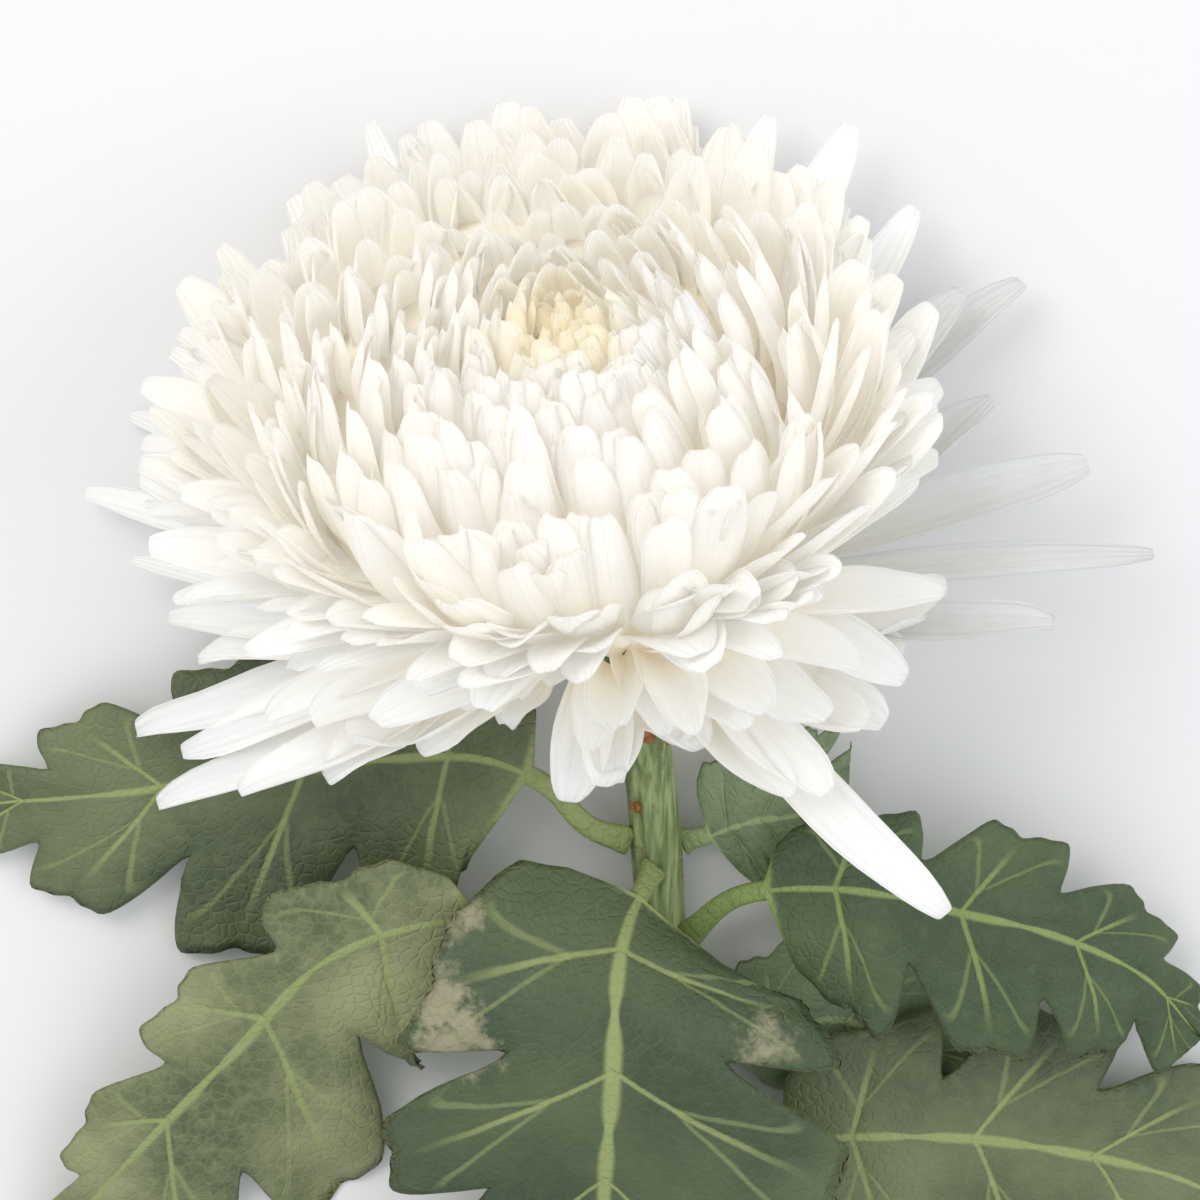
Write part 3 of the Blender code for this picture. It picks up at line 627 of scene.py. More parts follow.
def floret_bending(rule, points, blank, finish):
    """Puts a blank on each point and bends it by the numbers stored there."""
    florets = rule.node("GeometryNodeInstanceOnPoints", {}, {"Points": points, "Instance": blank})
    florets = rule.node("GeometryNodeRealizeInstances", {}, {0: florets})
    spot = rule.node("GeometryNodeInputPosition")
    x, y, z = (rule.node("ShaderNodeSeparateXYZ", {}, {0: spot}, part) for part in range(3))
    turn, polar, curl = rule.read("turn"), rule.read("polar"), rule.read("curl")
    length, width, roll = rule.read("length"), rule.read("width"), rule.read("roll")
    start, blunt, cup, wave = rule.read("start"), rule.read("blunt"), rule.read("cup"), rule.read("wave")
    tone = rule.read("tone")
    hood = rule.read("hood")
    share = start + (1 - start) * y
    first = polar + curl * 0.5
    angle = first - curl * share
    sine, cosine = rule.function("SINE", angle), rule.function("COSINE", angle)
    radial = rule.read("root radius") + length / curl * (cosine - rule.function("COSINE", first))
    height = rule.read("root height") + length / curl * (rule.function("SINE", first) - sine)
    out_x, out_y = rule.function("COSINE", turn), rule.function("SINE", turn)

    def in_world(hx, hy, hz):
        return rule.sum(rule.scaled(rule.vector(*HEAD_RIGHT), hx), rule.scaled(rule.vector(*HEAD_AWAY), hy),
                        rule.scaled(rule.vector(*FACE_AXIS), hz))

    middle = rule.sum(in_world(radial * out_x, radial * out_y, height), rule.vector(*RECEPTACLE))
    mx, my, mz = (rule.node("ShaderNodeSeparateXYZ", {}, {0: middle}, part) for part in range(3))
    sunk = (mz - SURFACE_LIFT) / SURFACE_SOFTNESS
    pressed = SURFACE_LIFT + SURFACE_SOFTNESS * rule.function(
        "LOGARITHM", 1 + rule.function("EXPONENT", rule.function("MINIMUM", sunk, 20.0)), math.e)
    mz = rule.function("MAXIMUM", mz, pressed)
    sideways = in_world(out_y * -1, out_x, 0.0)
    inner = in_world(out_x * cosine * -1, out_y * cosine * -1, sine)
    twist = roll * share
    cos_twist, sin_twist = rule.function("COSINE", twist), rule.function("SINE", twist)
    side_axis = rule.sum(rule.scaled(sideways, cos_twist), rule.scaled(inner, sin_twist))
    face_axis = rule.sum(rule.scaled(inner, cos_twist), rule.scaled(sideways, sin_twist * -1))
    grow = rule.smooth(share, 0.0, 0.66)
    narrow = (1 - y ** blunt) ** 0.5
    half = width * 0.5 * (0.38 + 0.62 * grow) * (0.14 + 0.86 * narrow)
    ripple = rule.function("SINE", share * 17 + tone * 40) * rule.smooth(y, 0.25, 1.0) * wave
    edge = x * x
    fold = rule.function("SINE", share * 23 + tone * 70 + x * 1.7) * wave * x * 0.6
    lifted = width * (cup * edge * (0.10 + 0.90 * narrow) + ripple * edge + fold * edge)
    end = rule.smooth(y, 0.62, 1.0)
    lifted = lifted + width * hood * end * y + z * (0.00042 - 0.00016 * y)
    spine = rule.function("COSINE", x * 9.4) * width * 0.018
    sway = rule.read("sway") * (share * share - share) * width
    placed = rule.sum(rule.vector(mx, my, mz), rule.scaled(side_axis, x * half + sway),
                      rule.scaled(face_axis, lifted + spine))
    florets = rule.node("GeometryNodeSetPosition", {}, {"Geometry": florets, "Position": placed})
    florets = rule.node("GeometryNodeSubdivisionSurface", {}, {"Mesh": florets, "Level": 1})
    rule.ends_in(rule.above_table(florets, 0.00012), finish)


def floret_row_rule():
    """Florets in the golden-angle spiral, from the eye outwards, tips on the outline of the head."""
    rule = Rule("floret_rows")
    blank = rule.given("Geometry", "Geometry")
    first = rule.given("First floret")
    many = rule.given("Florets")
    total = rule.given("Florets in all")
    skirt = rule.given("Skirt polar")
    eye_width = rule.given("Eye width")
    rim_width = rule.given("Rim width")
    seed = rule.given("Seed", "Int")
    finish = rule.given("Finish", "Material")
    points = rule.node("GeometryNodePoints", {}, {"Count": rule.node("FunctionNodeFloatToInt", {}, {0: many})})
    index = rule.node("GeometryNodeInputIndex") + first
    number = rule.node("FunctionNodeFloatToInt", {}, {0: index})
    seeds = [rule.node("FunctionNodeFloatToInt", {}, {0: rule.node("ShaderNodeMath", {"operation": "ADD"}, {0: seed, 1: k * 11.0})})
             for k in range(10)]

    def draw(low, high, k):
        return rule.draw(low, high, number, seeds[k])

    place = (index + 0.5) / total
    turn = index * math.radians(137.50776) + draw(-0.12, 0.12, 0)
    front = 0.5 + 0.5 * rule.function("COSINE", turn - math.radians(-110))
    tip_polar = (skirt - math.radians(14) * front) * place ** 0.66 + draw(-0.07, 0.07, 1)
    sine, cosine = rule.function("SINE", tip_polar), rule.function("COSINE", tip_polar)
    above = rule.function("GREATER_THAN", cosine, 0.0)
    half_height = HEAD_DOWN + (HEAD_UP - HEAD_DOWN) * above
    reach = ((sine / HEAD_RADIUS) ** 2 + (cosine / half_height) * (cosine / half_height)) ** -0.5
    reach = reach * (1 - 0.06 * rule.function("EXPONENT", (tip_polar / 0.35) ** 2 * -1)) * draw(0.87, 1.03, 2)
    root_radius = ROOT_RADIUS * place ** 0.5
    root_height = 0.007 * (1 - place)
    drawn = rule.smooth(place, 0.0, 0.5)
    tip_right = reach * sine * rule.function("COSINE", turn) + (EYE_SHIFT_RIGHT + (HEAD_SHIFT_RIGHT - EYE_SHIFT_RIGHT) * drawn)
    tip_away = reach * sine * rule.function("SINE", turn) + (EYE_SHIFT_AWAY + (HEAD_SHIFT_AWAY - EYE_SHIFT_AWAY) * drawn)
    turn = rule.function("ARCTAN2", tip_away, tip_right)
    across = (tip_right * tip_right + tip_away * tip_away) ** 0.5 - root_radius
    rise = HEAD_MIDDLE + reach * cosine - root_height
    opened = rule.smooth(place, 0.5, 1.0)
    curl = math.radians(24) + math.radians(24) * rule.clamp(place / 0.5)
    curl = curl * (1 - opened) + math.radians(-10) * opened + draw(-0.22, 0.22, 3)
    curl = curl - math.radians(34) * rule.smooth(front, 0.5, 1.0) * rule.smooth(place, 0.55, 0.95)
    curl = rule.function("SIGN", curl) * rule.function("MAXIMUM", rule.function("ABSOLUTE", curl), 0.03)
    chord = (across * across + rise * rise) ** 0.5
    length = chord * (curl * 0.5) / rule.function("SINE", curl * 0.5)
    for name, value in (
        ("turn", turn),
        ("polar", rule.function("ARCTAN2", across, rise)),
        ("curl", curl),
        ("length", length),
        ("width", (eye_width + (rim_width - eye_width) * place ** 0.6) * draw(0.84, 1.10, 4)),
        ("roll", draw(-0.55, 0.55, 5)),
        ("start", 0.52 - 0.46 * rule.smooth(place, 0.3, 0.9)),
        ("root radius", root_radius),
        ("root height", root_height),
        ("blunt", draw(3.0, 6.0, 6)),
        ("cup", 0.42 - 0.20 * rule.smooth(place, 0.25, 0.9) + draw(-0.05, 0.08, 7)),
        ("wave", 0.015 + 0.05 * rule.smooth(place, 0.4, 1.0)),
        ("hood", 0.42 - 0.36 * rule.smooth(place, 0.55, 0.95)),
        ("tone", draw(0.0, 1.0, 8)),
        ("sway", draw(-0.9, 0.9, 9)),
        ("row", place),
    ):
        points = rule.store(points, name, value)
    floret_bending(rule, points, blank, finish)
    return rule


# Turn from the viewer's right, polar angle, length, width, curl, roll, bluntness of the tip, sideways sway
STRAY_FLORETS = (
    (-26, 74, 70.3, 11, 26, 20, 2.4, -1.3), (-5, 84, 64, 11.5, 12, 15, 5.5, 0.1),
    (3, 92, 70.8, 8.5, -2, 65, 1.5, -0.15), (16, 92, 56.4, 11.5, 6, 10, 2.1, 0.35),
    (19, 90, 38, 12, 30, -15, 4.5, 0.2), (39, 100, 36, 13, -20, 10, 4, 0.2),
    (53, 112, 60, 12.5, -12, 5, 2, 0.5), (56, 104, 36, 13, -30, 0, 3, 0.3),
    (72, 98, 20.5, 12, -55, 10, 2.6, 0.4), (110, 104, 24.5, 12, -45, -14, 2.8, -0.4),
    (95, 104, 21.5, 10, -60, 20, 2.6, 0.2), (180, 100, 67, 13, 8, -8, 1.8, 0.3),
    (169, 103, 66, 13, 4, 4, 1.9, -0.3), (185, 94, 55, 11, 14, 0, 2.2, 0.2),
    (156, 98, 36, 13, 20, 10, 2.4, -0.4), (202, 84, 75.8, 11, 12, -10, 1.8, 0.5),
    (196, 88, 66.5, 10.5, 10, 12, 2, -0.3), (210, 76, 73.1, 10, 20, 0, 2.6, 0.2),
    (-115, 44, 75.2, 11, 4, 15, 1.9, -0.4), (-55, 50, 70, 11, 10, -5, 4, 0.1),
    (-45, 52, 72.9, 11, 12, 10, 4.5, -0.1), (-37, 62, 66.9, 11, 16, 15, 3, 0.2),
    (-27, 68, 62, 11, 26, 25, 3.5, -0.3), (137, 100, 15.9, 12, 30, 10, 3.5, 0.4),
    (101, 96, 24.6, 12, 36, -12, 3, -0.4), (76, 95, 19.7, 12.5, 28, 8, 3, 0.3),
    (63, 98, 35.2, 12.5, 20, -10, 2.8, 0.4), (43, 95, 36.9, 13, 16, 12, 3, -0.3),
    (24, 94, 35, 12.5, 24, -8, 3.5, 0.3), (15, 84, 42.3, 12.5, 34, 10, 4, 0.3),
    (-16, 80, 56.3, 12.5, 34, -10, 4, 0.3), (150, 98, 27.2, 13, 22, 6, 3, -0.3),
    (158, 99, 41.1, 13, 12, -8, 2.4, 0.3), (162, 97, 53.6, 13, 14, 8, 2.2, -0.3),
    (174, 99, 60, 13, 10, -4, 2.2, 0.3), (190, 92, 60, 12, 16, 6, 2.4, -0.2),
    (215, 78, 66, 11.5, 22, -6, 3, 0.2), (149, 84, 30.1, 12, -40, 10, 3, 0.3),
    (138, 76, 24.1, 12, -50, -12, 3.4, -0.3), (134, 84, 13.1, 12.5, -60, 8, 2.6, 0.2),
    (124, 70, 11, 12, -35, -10, 3, 0.4), (99, 82, 23, 12.5, -65, 15, 2.8, -0.3),
    (92, 66, 30, 11.5, -30, 10, 4, 0.2), (82, 80, 20.9, 12.5, -60, -20, 2.6, 0.3),
    (76, 70, 31, 12, -45, 12, 3.2, -0.4), (66, 84, 27.2, 13, -60, -10, 2.6, 0.3),
    (60, 72, 34, 12, -40, 18, 3.5, -0.2), (51, 86, 34, 13, -55, 6, 3, 0.3),
    (43, 76, 37, 12.5, -45, -14, 3.6, 0.3), (34, 86, 39, 13, -40, 10, 3, -0.3),
    (24, 78, 43, 12.5, -30, -10, 4, 0.3), (156, 84, 40.5, 12.5, -30, -8, 3, 0.3),
    (164, 84, 46, 12.5, -24, 8, 3, -0.3),
)


def stray_points():
    """One point for each listed wide or stray floret, with its numbers stored on it."""
    mesh = bpy.data.meshes.new("stray_points")
    mesh.from_pydata([(0, 0, 0)] * len(STRAY_FLORETS), [], [])
    draw = random.Random(3)
    numbers = {}
    for turn, polar, length, width, curl, roll, blunt, sway in STRAY_FLORETS:
        curl = curl if abs(curl) > 1.7 else 1.7
        for name, value in (
            ("turn", -math.radians(turn)), ("polar", math.radians(polar)), ("curl", math.radians(curl)),
            ("length", length * 0.001), ("width", width * 0.00104), ("roll", math.radians(roll)), ("start", 0.12),
            ("root radius", ROOT_RADIUS * 0.9), ("root height", 0.002), ("blunt", blunt),
            ("cup", draw.uniform(0.28, 0.55)), ("wave", draw.uniform(0.08, 0.20)), ("hood", draw.uniform(-0.1, 0.4)),
            # row 1.3 marks the long strays on the viewer's right, which the petal finish paints grey as painted shade.
            ("tone", draw.random()), ("row", 1.3 if abs(turn) < 30 and length > 55 else 1.0), ("sway", sway),
        ):
            numbers.setdefault(name, []).append(value)
    for name, values in numbers.items():
        mesh.attributes.new(name, "FLOAT", "POINT").data.foreach_set("value", values)
    return mesh


def stray_rule(blank_object):
    rule = Rule("stray_florets")
    points = rule.given("Geometry", "Geometry")
    finish = rule.given("Finish", "Material")
    blank = rule.node("GeometryNodeObjectInfo", {"transform_space": "ORIGINAL"}, {"Object": blank_object}, out=4)
    points = rule.node("GeometryNodeMeshToPoints", {}, {0: points})
    floret_bending(rule, points, blank, finish)
    return rule


def petal_finish():
    material, shader, bench = finish_named("petal_white", 0.5, 0.3)
    across, along = bench.plan()
    row, tone = bench.stored("row"), bench.stored("tone")
    where = bench.place()
    white = bench.blend(tone, (0.93, 0.895, 0.82), (0.90, 0.88, 0.83))
    # Painted shade: the outer rows turn greyer, and the long strays on the viewer's right (row 1.3) much greyer, as if
    # they lay in shade.
    painted_shade_white = bench.blend(bench.smooth(row, 0.7, 1.0), white, (0.84, 0.845, 0.83))
    painted_shade_white = bench.blend(bench.smooth(row, 1.1, 1.3), painted_shade_white, (0.62, 0.625, 0.62))
    deep = bench.blend(bench.smooth(row, 0.0, 0.35), (0.95, 0.72, 0.33), (0.95, 0.85, 0.62))
    depth = 1 - bench.smooth(along, 0.05, 0.75)
    color = bench.blend(depth * (0.9 - 0.5 * row), painted_shade_white, deep)
    eye = 1 - bench.smooth(row, 0.02, 0.16)
    color = bench.blend(eye * 0.8, color, (0.96, 0.84, 0.50))
    streak = bench.node("ShaderNodeCombineXYZ", {}, {0: across * 14 + tone * 31, 1: along * 0.7, 2: row * 90})
    lines = bench.spots(streak, 1.6, 2)
    color = bench.blend(bench.smooth(lines, 0.45, 0.75) * 0.16, color, (0.80, 0.79, 0.74))
    blotch = bench.spots(where, 90, 2)
    color = bench.blend(bench.smooth(blotch, 0.5, 0.75) * 0.12, color, (0.86, 0.88, 0.90))
    feed(shader, "Base Color", color)
    ridges = 0.5 + 0.5 * bench.function("SINE", across * 31.4 + tone * 6)
    relief(bench, shader, ridges * 0.55 + lines * 0.6, 0.00035, 0.8)
    # Painted light: the petals glow faintly, warmer towards the floret bases, as if lit through; the long right-hand
    # strays glow only a dim grey, a painted shade.
    painted_glow = bench.blend(depth, (1.0, 0.95, 0.86), (1.0, 0.84, 0.58))
    feed(shader, "Emission Color", bench.blend(bench.smooth(row, 1.0, 1.3), painted_glow, (0.25, 0.26, 0.26)))
    shader.inputs["Emission Strength"].default_value = 0.12
    shader.inputs["Subsurface Weight"].default_value = 0.5
    shader.inputs["Subsurface Radius"].default_value = (0.9, 0.85, 0.6)
    shader.inputs["Subsurface Scale"].default_value = 0.004
    return material


def grow_bloom():
    matrix = head_matrix()
    petal = petal_finish()
    blank = floret_blank()
    rows = floret_row_rule()
    for name, first, many in (("bloom_eye", 0, 60), ("bloom_inner_rows", 60, 200), ("bloom_outer_rows", 260, 190),
                              ("bloom_rim_rows", 450, FLORET_TOTAL - 450)):
        florets = grown(name, blank.copy(), rows, petal, First_floret=float(first), Florets=float(many),
                        Florets_in_all=float(FLORET_TOTAL), Skirt_polar=math.radians(106), Eye_width=0.0060,
                        Rim_width=0.0140, Seed=14)
        fitted(florets, "petal", "bloom")
    blank_object = bpy.data.objects.new("floret_blank", blank)
    bpy.context.scene.collection.objects.link(blank_object)
    strays = grown("bloom_strays", stray_points(), stray_rule(blank_object), petal)
    bpy.data.objects.remove(blank_object)
    fitted(strays, "petal", "bloom")

    def heart_shape(point):
        polar = math.acos(max(-1.0, min(1.0, point.z)))
        point *= head_reach(polar) * 0.60
        if polar > math.pi / 2:
            point.z /= lerp(1.0, 0.60, smooth_step((polar - math.pi / 2) / (math.pi / 2)))
        point.z += HEAD_MIDDLE
        point += Vector((HEAD_SHIFT_RIGHT, HEAD_SHIFT_AWAY, 0)) * smooth_step(point.z / HEAD_MIDDLE)
        placed = matrix @ point
        placed.z = max(placed.z, 0.0006)
        return placed

    cream, shader, bench = finish_named("floret_bases", 0.7, 0.2)
    feed(shader, "Base Color", bench.blend(bench.spots(bench.place(), 300, 2), (0.93, 0.88, 0.76), (0.95, 0.91, 0.82)))
    heart = bpy.data.objects.new("bloom_heart", sphere_mesh("bloom_heart", 48, 28, heart_shape))
    heart.data.materials.append(cream)
    bpy.context.scene.collection.objects.link(heart)
    fitted(heart, "petal", "bloom")


grow_bloom()

# Leaves: dull dark green blades cut into four rounded, toothed lobes a side, on half-round petioles. A wide
# pale midrib and side veins are sunk into the upper face and stand out below, where the blade is paler.
LEAVES = (
    ("leaf_1", 37, -8,
     ((12.5, -101, 20), (10.6, -109, 26), (9.9, -124, 29), (8.7, -144, 24), (8, -166, 15)),
     0.10, 40, (1, 1), (4, -4), 0.16),
    ("leaf_2", 56, -62,
     ((6, -107, 12), (-12, -101, 18), (-33, -107, 18), (-49, -124, 14), (-71, -149, 8), (-80, -163, 4)),
     0.26, 34, (1, 0.42), (4, 12), 0.22),
    ("leaf_3", 33, -70,
     ((6, -88, 12), (-1, -81, 12.5), (-14, -77, 12), (-40, -80, 9), (-65, -84, 7), (-92, -87, 4)),
     0.20, 30, (1, 0.62), (-6, 4), 0.10),
    ("leaf_4", 49, 60,
     ((30, -98.5, 14), (46, -96, 20), (62.5, -99.3, 21), (78, -104, 18), (92, -112, 13), (101, -123, 8)),
     0.20, 25, (0.62, 1), (10, 22), 0.26),
    ("leaf_5", 84, 72,
     ((33, -141, 8), (47, -138.5, 10), (70, -139.5, 9), (97, -146, 6), (111, -154, 4)),
     0.18, 28, (0.9, 1), (-6, 6), 0.18),
    ("leaf_6", 35, 112,
     ((25, -91, 6.2), (31, -88.5, 8), (38, -87.5, 8), (46, -87.5, 6)),
     0.20, 15, (1, 1), (-8, -6), -0.10),
    ("leaf_7", 72, 100,
     ((30, -126, 4.2), (44, -121, 5), (57, -127, 4), (66, -141, 3)),
     0.16, 16, (1, 1), (0, 4), -0.05),
    ("leaf_8", 112, -84,
     ((4, -178, 7.5), (-14, -186, 11), (-38, -199, 9), (-66, -216, 4)),
     0.20, 30, (1, 0.9), (4, 6), 0.20),
    ("leaf_9", 150, 80,
     ((30, -212, 7.5), (48, -222, 11), (72, -236, 9), (94, -252, 4)),
     0.20, 27, (1, 1), (-2, -6), 0.20),
    ("leaf_10", 192, -80,
     ((0, -258, 7), (-16, -268, 9.5), (-38, -284, 7.5), (-58, -300, 4)),
     0.20, 24, (1, 1), (2, 6), 0.20),
)
LOBES = 4
PETIOLE_HALF_WIDTH = 0.0016
BLADE_THICKNESS = 0.0005
PETIOLE_ROWS = 14
BLADE_ROWS = 128
COLUMNS = (0.035, 0.10, 0.20, 0.33, 0.48, 0.64, 0.80, 0.93, 1.0)


def leaf_seat(line, length, distance, turn, towards):
    """The point on the stem's skin where a petiole starts."""
    at = distance * 0.001 / length * (len(line) - 1)
    low = int(at)
    middle = line[low].lerp(line[low + 1], at - low)
    along = (line[low + 1] - line[low]).normalized()
    up = (Vector((0, 0, 1)) - along * along.z).normalized()
    right = up.cross(along).normalized()
    outward = up * math.cos(math.radians(turn)) + right * math.sin(math.radians(turn))
    leaving = (towards - middle).normalized()
    slant = math.sqrt(max(0.0, 1 - leaving.dot(outward) ** 2))
    return middle + outward * (STEM_RADIUS * 1.02 + PETIOLE_HALF_WIDTH * slant)


def lobe_reach(q, side, half_width, gains):
    """How far the margin is from the midrib along a vein that starts at share q of it."""
    body = max(0.0, math.sin(math.pi * (0.13 + 0.87 * q))) ** 0.8
    cut = 0.0
    for sinus in range(1, LOBES):
        away = (q - sinus / LOBES) / 0.036
        cut = max(cut, 0.50 * (1.15 - 0.15 * sinus) * math.exp(-away * away))
    at = q * LOBES
    low = min(LOBES - 1, int(at))
    gain = gains[side][low]
    tooth = 0.5 - 0.5 * math.cos(math.tau * 8 * q)
    small = 0.5 - 0.5 * math.cos(math.tau * 24 * q + side)
    teeth = (0.0022 * tooth**0.8 + 0.0006 * small) * (1 - q * 0.5)
    return max(0.0008, half_width * 0.001 * body * gain * (1 - cut) + teeth)


def leaf_sheet(stem_line, stem_length, shape, seed):
    """Both faces of one leaf, closed round the margin, with its plan and an upper/under number."""
    _, distance, turn, further, petiole_share, half_width, halves, rolls, droop = shape
    draw = random.Random(seed)
    gains = [[draw.uniform(0.88, 1.1) * halves[side] for _ in range(LOBES)] for side in range(2)]
    points = [Vector(p) * 0.001 + LAYOUT_SHIFT for p in further]
    seat = leaf_seat(stem_line, stem_length, distance, turn, points[0])
    line, length = smooth_line([seat] + points, 90)
    petiole = length * petiole_share
    blade = length - petiole

    def place(across, along):
        at = min(max(along, 0.0), length - 1e-6) / length * (len(line) - 1)
        low = int(at)
        middle = line[low].lerp(line[low + 1], at - low)
        tangent = (line[min(low + 3, len(line) - 1)] - line[max(low - 2, 0)]).normalized()
        side = tangent.cross(Vector((0, 0, 1))).normalized()
        normal = side.cross(tangent)
        roll = math.radians(lerp(*rolls, along / length))
        spread = across / (half_width * 0.001)
        wave = 0.05 * math.sin(along / blade * 19 + spread * 2 + seed) * spread * spread
        wave += 0.018 * math.sin(along / blade * 47 + seed * 2 + spread * 5) * abs(spread) ** 3
        sag = half_width * 0.001 * (wave - droop * spread * spread)
        turned = normal * math.cos(roll) - side * math.sin(roll)
        return middle + (side * math.cos(roll) + normal * math.sin(roll)) * across + turned * sag, turned

    rows = []
    columns = [-share for share in reversed(COLUMNS)] + [0.0] + list(COLUMNS)
    for row in range(PETIOLE_ROWS):
        share = row / PETIOLE_ROWS
        flare = 1 + 0.5 * (1 - share) ** 4
        rows.append([(c * PETIOLE_HALF_WIDTH * flare, petiole * share, c, -1 + share) for c in columns])
    for row in range(BLADE_ROWS + 1):
        q = row / BLADE_ROWS
        angle = lerp(math.radians(82), math.radians(20), q)
        reaches = [lobe_reach(q, side, half_width, gains) for side in range(2)]
        foot = petiole + blade * q
        rows.append([
            (c * reaches[c > 0] * math.sin(angle), foot + abs(c) * reaches[c > 0] * math.cos(angle), c, q)
            for c in columns
        ])
    work = bmesh.new()
    plan = work.loops.layers.uv.new("plan")
    under = work.verts.layers.float.new("under")
    sheets = []
    plans = {}
    for side in (1, -1):
        sheet = []
        for row in rows:
            line_of = []
            for across, along, c, q in row:
                middle, normal = place(across, along)
                in_blade = smooth_step(q * 9 + 1) if q < 0 else 1.0
                rib = (1 - smooth_step(q)) * 0.9 + 0.1
                hump = math.exp(-((across / lerp(0.0011, 0.0007, max(q, 0))) ** 2))
                lobe_at = max(q, 0) * LOBES
                vein_gap = (lobe_at - int(lobe_at) - 0.5) / LOBES
                vein = math.exp(-((vein_gap / 0.012) ** 2)) * (1 - abs(c)) * (q >= 0) * min(1.0, abs(c) * 6)
                puff = (1 - math.exp(-((vein_gap / 0.05) ** 2))) * math.sin(math.pi * min(1, abs(c))) * (q >= 0)
                edge = abs(c) == 1.0
                if q < 0:
                    thick = 0.0013 * math.sqrt(max(0.0, 1 - c * c)) * lerp(1.0, 0.75, in_blade)
                    lift = side * thick - (0.0004 * hump if side > 0 else 0)
                else:
                    thick = 0.0 if edge else BLADE_THICKNESS / 2
                    lift = side * thick + puff * 0.0007
                    if side > 0:
                        lift += 0.00035 * hump * rib - 0.00040 * vein
                    else:
                        lift -= 0.00110 * hump * rib + 0.00030 * vein
                spot = middle + normal * lift
                spot.z = max(spot.z, 0.0003 if side < 0 else 0.0006)
                if side < 0 and edge:
                    line_of.append(sheets[0][len(sheet)][len(line_of)])
                    continue
                vertex = work.verts.new(spot)
                vertex[under] = 0.0 if side > 0 else 1.0
                plans[vertex] = (c * 0.5 + 0.5, q)
                line_of.append(vertex)
            sheet.append(line_of)
        sheets.append(sheet)
        for low, high in zip(sheet, sheet[1:]):
            for column in range(len(low) - 1):
                corners = [low[column], low[column + 1], high[column + 1], high[column]]
                work.faces.new(corners if side > 0 else corners[::-1])
    for end, turn_round in ((0, False), (-1, True)):
        top, bottom = sheets[0][end], sheets[1][end]
        for column in range(len(top) - 1):
            corners = [top[column], bottom[column], bottom[column + 1], top[column + 1]]
            corners = [v for i, v in enumerate(corners) if v not in corners[:i]]
            work.faces.new(corners[::-1] if turn_round else corners)
    for face in work.faces:
        for loop in face.loops:
            loop[plan].uv = plans[loop.vert]
    bmesh.ops.recalc_face_normals(work, faces=work.faces)
    mesh = bpy.data.meshes.new(shape[0])
    work.to_mesh(mesh)
    work.free()
    mesh.shade_smooth()
    return mesh


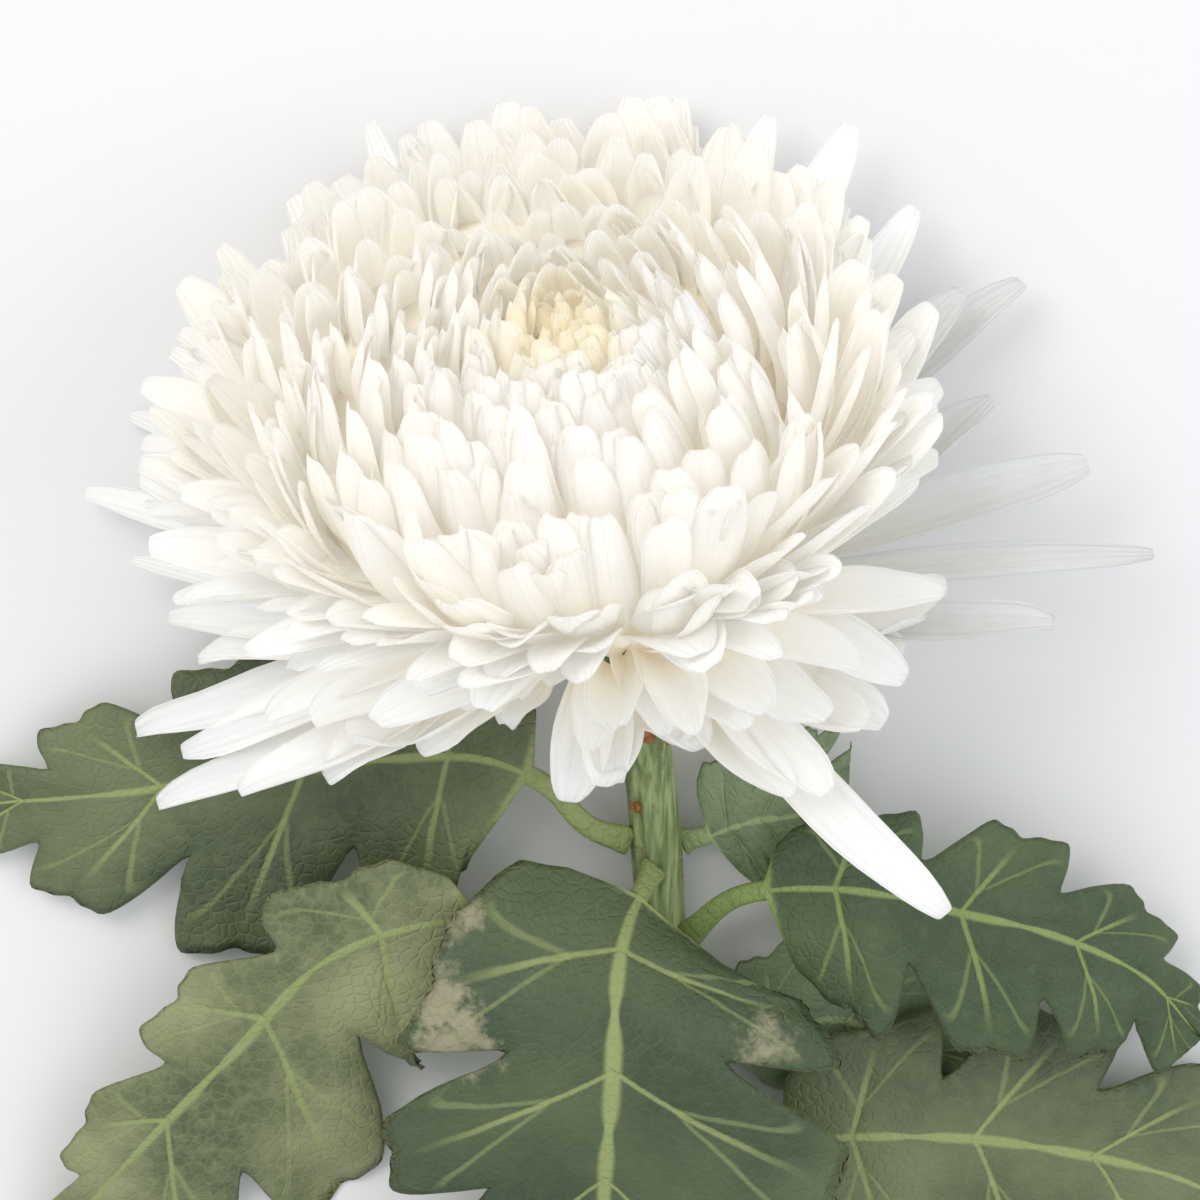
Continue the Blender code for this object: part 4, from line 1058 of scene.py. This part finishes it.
def leaf_finish(name, dark, light, lime, scuffs=()):
    """Leaf green for one leaf: its dark and light tones, its vein colour and its dry scuffed spots."""
    material, shader, bench = finish_named(name, 0.42, 0.45)
    across, along = bench.plan()
    where = bench.place()
    under = bench.stored("under")
    off = bench.function("ABSOLUTE", across - 0.5) * 2
    wobble = (bench.spots(where, 120, 2) - 0.5) * 0.02
    phase = along * LOBES + wobble * 2
    gap = bench.function("ABSOLUTE", phase - bench.function("FLOOR", phase) - 0.5) / LOBES
    in_blade = bench.smooth(along, -0.04, 0.01)
    midrib = 1 - bench.smooth(off * (1.25 - 0.55 * along), 0.02, 0.055)
    side_vein = (1 - bench.smooth(gap, 0.0025, 0.0085)) * (1 - bench.smooth(off, 0.45, 0.95))
    fork = bench.function("ABSOLUTE", gap - (off - 0.25) * 0.13)
    small_vein = (1 - bench.smooth(fork, 0.002, 0.007)) * bench.smooth(off, 0.25, 0.35) * (1 - bench.smooth(off, 0.7, 0.95))
    edges = bench.node("ShaderNodeTexVoronoi", {"feature": "DISTANCE_TO_EDGE"}, {"Vector": where, "Scale": 560.0})
    net = 1 - bench.smooth(edges, 0.02, 0.16)
    broad = bench.spots(where, 38, 3)
    fine = bench.spots(where, 420, 2)
    green = bench.blend(bench.smooth(broad, 0.32, 0.72), dark, light)
    green = bench.blend(bench.smooth(fine, 0.35, 0.75) * 0.3, green, light)
    green = bench.blend(net * 0.16, green, light)
    vein = bench.clamp(side_vein * 0.85 + small_vein * 0.45)
    green = bench.blend(vein * in_blade, green, lime)
    green = bench.blend(bench.clamp(midrib + (1 - in_blade)), green, lime)
    margin = bench.smooth(off, 0.955, 1.0)
    green = bench.blend(margin * 0.5, green, (0.22, 0.24, 0.09))
    for spot, size in scuffs:
        gone = bench.node("ShaderNodeVectorMath", {"operation": "DISTANCE"}, {0: where, 1: spot}, out=1)
        patch = bench.smooth(bench.spots(where, 260, 4, 0.7) * 1.5 - gone / size, 0.0, 0.45)
        green = bench.blend(patch * 0.75, green, (0.34, 0.31, 0.20))
    pale = bench.blend(bench.smooth(fine, 0.3, 0.7), (0.235, 0.31, 0.165), (0.30, 0.38, 0.22))
    pale = bench.blend(bench.clamp(midrib + vein + net * 0.3), pale, (0.42, 0.50, 0.26))
    feed(shader, "Base Color", bench.blend(under, green, pale))
    feed(shader, "Roughness", 0.40 + 0.22 * fine + 0.12 * under)
    relief(bench, shader, fine * 0.3 + net * -0.35 + vein * -0.6, 0.00035, 0.8)
    return material


def grow_leaves():
    _, stem_line, stem_length = stem_line_mesh(220)
    scuffs = tuple(
        ((Vector(spot) * 0.001 + LAYOUT_SHIFT)[:], size * 0.001)
        for spot, size in (((-14, -98, 24), 8), ((-13, -118, 24), 11), ((-16, -112, 24), 9), ((32, -119, 24), 8))
    )
    lime = (0.27, 0.32, 0.12)
    front = leaf_finish("leaf_front_green", (0.036, 0.062, 0.026), (0.085, 0.118, 0.052), lime, scuffs)
    # The lower-left leaf's light olive patches are a painted sheen, lighter than the other leaves' greens.
    side = leaf_finish("leaf_sheen_lit_green", (0.080, 0.105, 0.046), (0.300, 0.320, 0.160), lime)
    back = leaf_finish("leaf_back_green", (0.034, 0.062, 0.024), (0.090, 0.130, 0.055), (0.22, 0.30, 0.09))
    low = leaf_finish("leaf_low_green", (0.050, 0.074, 0.034), (0.150, 0.180, 0.085), lime)
    pale = leaf_finish("leaf_pale_green", (0.130, 0.190, 0.095), (0.255, 0.320, 0.180), (0.34, 0.42, 0.20))
    finishes = {"leaf_1": front, "leaf_2": side, "leaf_3": low, "leaf_5": low, "leaf_6": pale, "leaf_7": pale}
    for seed, shape in enumerate(LEAVES):
        mesh = leaf_sheet(stem_line, stem_length, shape, seed)
        mesh.materials.append(finishes.get(shape[0], back))
        leaf = bpy.data.objects.new(shape[0] + "_blade", mesh)
        bpy.context.scene.collection.objects.link(leaf)
        fitted(leaf, "leaf", shape[0])


grow_leaves()
